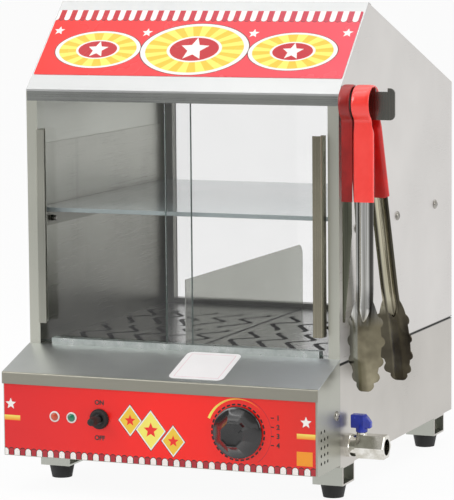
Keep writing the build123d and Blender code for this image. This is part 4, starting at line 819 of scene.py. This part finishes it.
def pressed_arm(name, node, body, front):
    """Outer tong arm: flat band, a ridge that runs out in a point, and a lobed spoon."""
    reach = OUTER_REACH[front]
    mid = reach - SPOON_HALF_L
    side_columns, ridge_columns = 9, 10
    rows = []
    for away, down, out_a, out_d in arm_line(*BEND[front], reach - 1.35, 1.3):
        shank = smooth_step(down, 96.0, 112.0)
        half = BAND_HALF + shank
        if down > reach - 118:
            lobed = spoon_half(down, mid)
            half = max(lobed, half) if down < mid - 28 else lobed
        end = min(1.0, max(0.0, (down - reach + 97.0) / 15.0))
        ridge_w = max(0.25, RIDGE_HALF * (1 - end) ** 0.6)
        ridge = shank * (RIDGE_RISE - 2.2 * smooth_step(down, reach - 125.0, reach - 84.0))
        if end >= 1:
            ridge = 0.0
        bowl = 7.0 * smooth_step(down, reach - 112.0, reach - 70.0)
        tip = 4.0 * smooth_step(down, reach - 42.0, reach)
        level = RIDGE_RISE * shank * (1 - smooth_step(down, reach - 125.0, reach - 70.0))
        left = reach - down
        if left < SPOON_TIP_R:
            half = min(half, math.sqrt(SPOON_TIP_R ** 2 - (SPOON_TIP_R - left) ** 2))
        half = max(half, ridge_w + 0.5)
        wides = [-half + (half - ridge_w) * k / side_columns for k in range(side_columns)]
        wides += [-ridge_w + 2 * ridge_w * k / ridge_columns for k in range(ridge_columns + 1)]
        wides += [ridge_w + (half - ridge_w) * (k + 1) / side_columns for k in range(side_columns)]
        row = []
        for wide in wides:
            lift = ridge * (1 - min(1.0, abs(wide) / ridge_w) ** 2.2)
            inward = level - lift + tip + bowl * (max(0.0, abs(wide) - 4.5) / 14.5) ** 1.4
            row.append(arm_point(
                OUTER_X, front, away - out_a * inward, wide, down - out_d * inward))
        rows.append(row)
    return sheet_piece(name, node, body, rows, TONG_STEEL if front else SHADED_TONG_STEEL)


def flat_arm(name, node, body, front):
    """Inner tong arm: a slim crowned strip that narrows to a round tip."""
    reach = INNER_REACH[front]
    rows = []
    for away, down, out_a, out_d in arm_line(*BEND[front], reach - 0.4, 1.6):
        narrowed = max(0.0, (down - SHOULDER) / (reach - SHOULDER))
        full = STRIP_W - (STRIP_W - STRIP_TIP_W) * narrowed
        left = reach - down
        width = full if left > full / 2 else max(0.8, 2 * math.sqrt(left * (full - left)))
        row = []
        for k in range(9):
            wide = (full - STRIP_W) / 2 + width * (k / 8 - 0.5)
            crown = 1.1 * (2 * (k / 8) - 1) ** 2 * smooth_step(down, 96.0, 120.0)
            row.append(arm_point(INNER_X, front, away - out_a * crown, wide, down - out_d * crown))
        rows.append(row)
    return sheet_piece(name, node, body, rows, SHADED_INNER_TONG_STEEL)


def plain_copy(obj, name):
    """The object with its modifiers worked out, as a plain mesh; the object goes."""
    bpy.context.view_layer.update()
    graph = bpy.context.evaluated_depsgraph_get()
    mesh = bpy.data.meshes.new_from_object(obj.evaluated_get(graph), depsgraph=graph)
    mesh.name = name
    bpy.data.objects.remove(obj)
    return mesh


def dipped_sleeve(name, node, body, x, front, half_band, lower_half, lower_thick, finish):
    """Vinyl dipped over the top of an arm, thicker below, with a slightly wavy end."""
    rings = []
    count = 32
    line = arm_line(*BEND[front], SLEEVE_REACH[front])
    for i, (away, down, out_a, out_d) in enumerate(line):
        low = smooth_step(down, 24.0, 34.0) if out_d == 0.0 and down > 20 else 0.0
        half = (half_band + 1.0) * (1 - low) + lower_half * low
        thick = 1.6 * (1 - low) + lower_thick * low
        shift = (lower_thick - 1.6) * low
        shrink = 0.55 if i in (0, len(line) - 1) else 1.0
        ring = []
        for j in range(count):
            a = math.tau * j / count
            c, s = math.cos(a), math.sin(a)
            wide = (half - (1 - shrink)) * math.copysign(abs(c) ** 0.45, c)
            deep = (thick - (1 - shrink)) * math.copysign(abs(s) ** 0.8, s) - shift
            wave = -1.2 + 0.7 * math.sin(3 * a + x) if i == len(line) - 1 else 0.0
            ring.append(arm_point(x, front, away + out_a * deep, wide, down + out_d * deep + wave))
        rings.append(ring)
    points, faces = tube(rings, flip=front)
    return put(new_piece(name, points, faces, [finish], 50.0), body, node)


# ---- pieces that repeat, made with geometry nodes


def node_mesh(name, sizes, shape, seeds, finish):
    """One shape on every seed point, each facing outward, as a plain mesh."""
    mesh = bpy.data.meshes.new(name + "_seeds")
    mesh.from_pydata([at(*p) for p, _ in seeds], [], [])
    out = mesh.attributes.new("outward", "FLOAT_VECTOR", "POINT")
    out.data.foreach_set("vector", [c for _, d in seeds for c in d])
    carrier = add_object(name + "_carrier", mesh)
    tree = instance_tree(name + "_row", sizes, shape)
    modifier = carrier.modifiers.new("nodes", "NODES")
    modifier.node_group = tree
    values = {**sizes, "Finish": finish}
    for item in tree.interface.items_tree:
        if item.in_out == "INPUT" and item.name in values:
            modifier[item.identifier] = values[item.name]
    result = plain_copy(carrier, name)
    bpy.data.node_groups.remove(tree)
    return result


def instance_tree(name, sizes, shape):
    """A tree with named sizes that sets one shape on every point, facing outward."""
    tree = bpy.data.node_groups.new(name, "GeometryNodeTree")
    for socket_name, way, kind in (
        ("Geometry", "INPUT", "Geometry"), *((size, "INPUT", "Float") for size in sizes),
        ("Finish", "INPUT", "Material"), ("Geometry", "OUTPUT", "Geometry"),
    ):
        tree.interface.new_socket(socket_name, in_out=way, socket_type="NodeSocket" + kind)
    given = add_node(tree, "NodeGroupInput")
    made = shape(tree, given)
    outward = add_node(tree, "GeometryNodeInputNamedAttribute", {"Name": "outward"},
                       data_type="FLOAT_VECTOR")
    turn = add_node(tree, "FunctionNodeAlignRotationToVector", {"Vector": outward.outputs[0]},
                    axis="Z")
    spots = add_node(tree, "GeometryNodeInstanceOnPoints", {
        "Points": given.outputs["Geometry"], "Instance": made, "Rotation": turn.outputs[0]})
    real = add_node(tree, "GeometryNodeRealizeInstances", {0: spots.outputs[0]})
    coloured = add_node(tree, "GeometryNodeSetMaterial", {
        "Geometry": real.outputs[0], "Material": given.outputs["Finish"]})
    add_node(tree, "NodeGroupOutput", {0: coloured.outputs[0]})
    return tree


def dome_screw_shape(tree, given):
    """Dome head with a cross recess on a plain shank."""
    radius, height, shank_r, shank_l = (given.outputs[n] for n in (
        "Head Radius", "Head Height", "Shank Radius", "Shank Length"))
    ball = add_node(tree, "GeometryNodeMeshUVSphere", {"Segments": 28, "Rings": 14, "Radius": 1.0})
    shape = add_node(tree, "ShaderNodeCombineXYZ", {0: radius, 1: radius, 2: height})
    dome = add_node(tree, "GeometryNodeTransform", {
        "Geometry": ball.outputs[0], "Scale": shape.outputs[0]})
    head = add_node(tree, "GeometryNodeMeshBoolean", {0: dome.outputs[0]},
                    operation="DIFFERENCE", solver="EXACT")
    for size in ((0.005, 0.0011, 0.0016), (0.0011, 0.005, 0.0016)):
        bar = add_node(tree, "GeometryNodeMeshCube", {"Size": size})
        raised = add_node(tree, "GeometryNodeTransform", {
            "Geometry": bar.outputs[0], "Translation": (0, 0, 0.0032)})
        tree.links.new(raised.outputs[0], head.inputs["Mesh 2"])
    shank = add_node(tree, "GeometryNodeMeshCylinder", {
        "Vertices": 20, "Radius": shank_r, "Depth": shank_l})
    half = add_node(tree, "ShaderNodeMath", {0: shank_l, 1: -0.5}, operation="MULTIPLY")
    down = add_node(tree, "ShaderNodeCombineXYZ", {2: half.outputs[0]})
    low = add_node(tree, "GeometryNodeTransform", {
        "Geometry": shank.outputs[0], "Translation": down.outputs[0]})
    both = add_node(tree, "GeometryNodeJoinGeometry", {})
    tree.links.new(head.outputs[0], both.inputs[0])
    tree.links.new(low.outputs[0], both.inputs[0])
    return both.outputs[0]


def dome_screws():
    """Dome-headed screws in both side walls."""
    seeds = [((side * HALF_W, y, z), (side, 0, 0)) for side in (-1, 1)
             for y, z in ((59.0, 271.4), (204.0, 271.4), (349.0, 271.4), (-10.0, 62.5))]
    sizes = {"Head Radius": 0.00575, "Head Height": 0.003,
             "Shank Radius": 0.002, "Shank Length": 0.0055}
    mesh = node_mesh("dome_head_screws", sizes, dome_screw_shape, seeds, SCREW_METAL)
    return put(smooth_piece("dome_head_screws", mesh, 40.0),
               "cabinet", "dome_screws")


def collar_rib_shape(tree, given):
    """One grip rib of the collar: a short rounded bar."""
    rib_r, rib_l = given.outputs["Rib Radius"], given.outputs["Rib Length"]
    bar = add_node(tree, "GeometryNodeMeshCylinder", {
        "Vertices": 10, "Radius": rib_r, "Depth": rib_l})
    return bar.outputs[0]


def switch_collar():
    """Rubber collar round the toggle: stepped ring with grip ribs."""
    points, faces = turned(*SWITCH, (
        (0.0, 11.2), (0.6, 11.6), (2.2, 11.6), (2.6, 10.4), (4.4, 9.9), (4.9, 9.3), (5.0, 8.2),
        (4.4, 7.2), (4.2, 6.2), (3.0, 6.1), (0.1, 6.1)))
    ring = new_piece("collar_ring", points, faces, [RUBBER], 40.0)
    rib_ring_r = 11.1
    seeds = [((SWITCH[0] + rib_ring_r * c, OVERLAY_Y - 1.3, SWITCH[1] + rib_ring_r * s),
              (0, -1, 0)) for c, s in circle(30)]
    ribs = node_mesh("collar_ribs", {"Rib Radius": 0.0009, "Rib Length": 0.0024},
                     collar_rib_shape, seeds, RUBBER)
    put(smooth_piece("collar_ribs", ribs, 60.0), "cabinet", None)
    return put(ring, "cabinet", "switch_collar")


def printed_words():
    """Plain numbers at the dial marks and ON / OFF at the switch, as printed ink."""
    for name, words, x, z, size in (
        *((f"dial_number_{i}", str(i), 149.5, mark_z, 7.8) for i, mark_z in enumerate(MARK_ZS, 1)),
        ("switch_on_word", "ON", SWITCH[0], 72.5, 7.4),
        ("switch_off_word", "OFF", SWITCH[0], 31.0, 7.4),
    ):
        curve = bpy.data.curves.new(name, "FONT")
        curve.body, curve.size, curve.extrude = words, size / 1000, 0.00002
        curve.align_x, curve.align_y = "CENTER", "CENTER"
        curve.offset = 0.00034
        mesh = plain_copy(add_object(name + "_curve", curve), name)
        mesh.transform(Matrix.Translation(at(x, OVERLAY_Y - 0.03, z))
                       @ Matrix.Rotation(math.pi / 2, 4, "X"))
        mesh.materials.clear()
        mesh.materials.append(NYLON)
        put(add_object(name, mesh), "cabinet", None)


dial_knob()
pilot_lamp("pilot_lamp_amber", LAMP_XS[0], AMBER)
pilot_lamp("pilot_lamp_green", LAMP_XS[1], GREEN)
lever_boot()
switch_collar()
wing_handle()
dome_screws()
printed_words()

SIDES = (("front", True, ""), ("rear", False, "_rear"))
for side, front, part in SIDES:
    pressed_arm(
        f"outer_{side}_arm_pressing", f"outer_tongs_{side}_arm", "outer_tongs" + part, front)
for side, front, part in SIDES:
    flat_arm(f"inner_{side}_arm_strip", f"inner_tongs_{side}_arm", "inner_tongs" + part, front)
for pair, x, widths, finishes in (
    ("outer", OUTER_X, (BAND_HALF, 12.0, 4.0), (VINYL, DARK_VINYL)),
    ("inner", INNER_X, (STRIP_W / 2, 6.5, 1.6), (SHADED_INNER_VINYL, SHADED_INNER_VINYL)),
):
    for (side, front, part), finish in zip(SIDES, finishes):
        dipped_sleeve(f"{pair}_{side}_sleeve_dip", f"{pair}_tongs_{side}_sleeve",
                      f"{pair}_tongs{part}", x, front, *widths, finish)

# ---- Studio: floor, background, lamps and camera


def studio_floor():
    """Pale floor that stays white to the eye but keeps the object's shadow."""
    mat, tree = material("studio_floor_paint")
    cloud = noise(tree, 2.0, 2.0)
    colour = blend(cloud, "#F4F4F4", "#FAFAFA")
    plain = add_node(tree, "ShaderNodeBsdfDiffuse", {"Color": colour})
    path = add_node(tree, "ShaderNodeLightPath")
    _, y, _ = place_on(tree)
    dim = y.spread(-2400.0, -150.0, 0.62, 0.0) * path.outputs["Is Glossy Ray"]
    glow = add_node(tree, "ShaderNodeEmission", {
        "Color": (1, 1, 1, 1), "Strength": (dim * -1 + 1.0)})
    seen = Field(tree, path.outputs["Is Camera Ray"]) | path.outputs["Is Glossy Ray"]
    seen = seen | path.outputs["Is Transmission Ray"]
    both = add_node(tree, "ShaderNodeMixShader", {
        0: (seen * 0.93), 1: plain.outputs[0], 2: glow.outputs[0]})
    finish_surface(mat, both)
    mesh = bpy.data.meshes.new("studio_floor")
    mesh.from_pydata([(-40, -40, 0), (40, -40, 0), (40, 40, 0), (-40, 40, 0)], [], [(0, 1, 2, 3)])
    mesh.materials.append(mat)
    floor = add_object("studio_floor", mesh)


def studio_world():
    """White behind the object; the room in front of it is dimmer in reflections."""
    world = bpy.data.worlds.new("studio")
    world.use_nodes = True
    tree = world.node_tree
    tree.nodes.clear()
    path = add_node(tree, "ShaderNodeLightPath")
    coords = add_node(tree, "ShaderNodeTexCoord")
    split = add_node(tree, "ShaderNodeSeparateXYZ", {0: coords.outputs["Generated"]})
    across, depth = Field(tree, split.outputs["X"]), Field(tree, split.outputs["Y"])
    front = depth.spread(-0.9, 0.1)
    room = blend(front, "#8E8C86", "#F4F4F2")
    # two bright screens, three dark gaps and one narrow strong streak for polished metal
    turn = across.do("ARCTAN2", depth * -1)
    screens = turn.inside(-1.05, -0.62) | turn.inside(0.78, 1.2)
    gaps = turn.inside(-0.3, 0.25) | turn.inside(1.35, 1.75) | turn.inside(-1.7, -1.25)
    room = blend(screens, room, "#FFFFFF")
    room = blend(gaps * 0.7, room, "#3A3936")
    streak = turn.inside(-1.12, -1.02) * 5.0 + 1.0
    glossy, ambient, backdrop = (
        add_node(tree, "ShaderNodeBackground", {"Color": colour, "Strength": strength})
        for colour, strength in ((room, streak), ((1, 1, 1, 1), 0.55), ((1, 1, 1, 1), 1.0)))
    first = add_node(tree, "ShaderNodeMixShader", {
        0: path.outputs["Is Glossy Ray"], 1: ambient.outputs[0], 2: glossy.outputs[0]})
    clear = Field(tree, path.outputs["Is Camera Ray"]) | path.outputs["Is Transmission Ray"]
    last = add_node(tree, "ShaderNodeMixShader", {
        0: clear, 1: first.outputs[0], 2: backdrop.outputs[0]})
    add_node(tree, "ShaderNodeOutputWorld", {"Surface": last.outputs[0]})
    bpy.context.scene.world = world


def softbox(name, place, aim, width, height, power):
    """A large soft lamp that looks at a point."""
    data = bpy.data.lights.new(name, "AREA")
    data.shape, data.size, data.size_y, data.energy = "RECTANGLE", width, height, power
    lamp = add_object(name, data)
    lamp.location = place
    lamp.rotation_mode = "QUATERNION"
    lamp.rotation_quaternion = (Vector(aim) - Vector(place)).to_track_quat("-Z", "Y")
    lamp.visible_camera = False


def photograph_camera():
    """Long lens from the right front, slightly above, as in the photograph."""
    data = bpy.data.cameras.new("photograph")
    data.lens, data.sensor_width = 201.4, 36.0
    data.clip_start, data.clip_end = 0.05, 200.0
    camera = add_object("photograph", data)
    right = Vector((0.92465, 0.38073, -0.00840))
    up = Vector((-0.03677, 0.11120, 0.99312))
    back = Vector((0.37904, -0.91798, 0.11682))
    turn = Matrix((right, up, back)).transposed().to_4x4()
    camera.matrix_world = Matrix.Translation((1.25584, -3.13848, 0.66539)) @ turn
    bpy.context.scene.camera = camera


studio_floor()
studio_world()
softbox("overhead", (0.05, -0.15, 2.3), (-0.03, 0.0, 0.4), 3.2, 2.4, 25.0)
softbox("front_left", (-1.7, -2.1, 1.7), (-0.03, 0.0, 0.3), 1.2, 1.2, 20.0)
softbox("right_side", (2.4, -0.5, 1.2), (0.1, 0.0, 0.3), 1.2, 1.4, 14.0)
photograph_camera()
bpy.context.scene.view_settings.view_transform = "Standard"
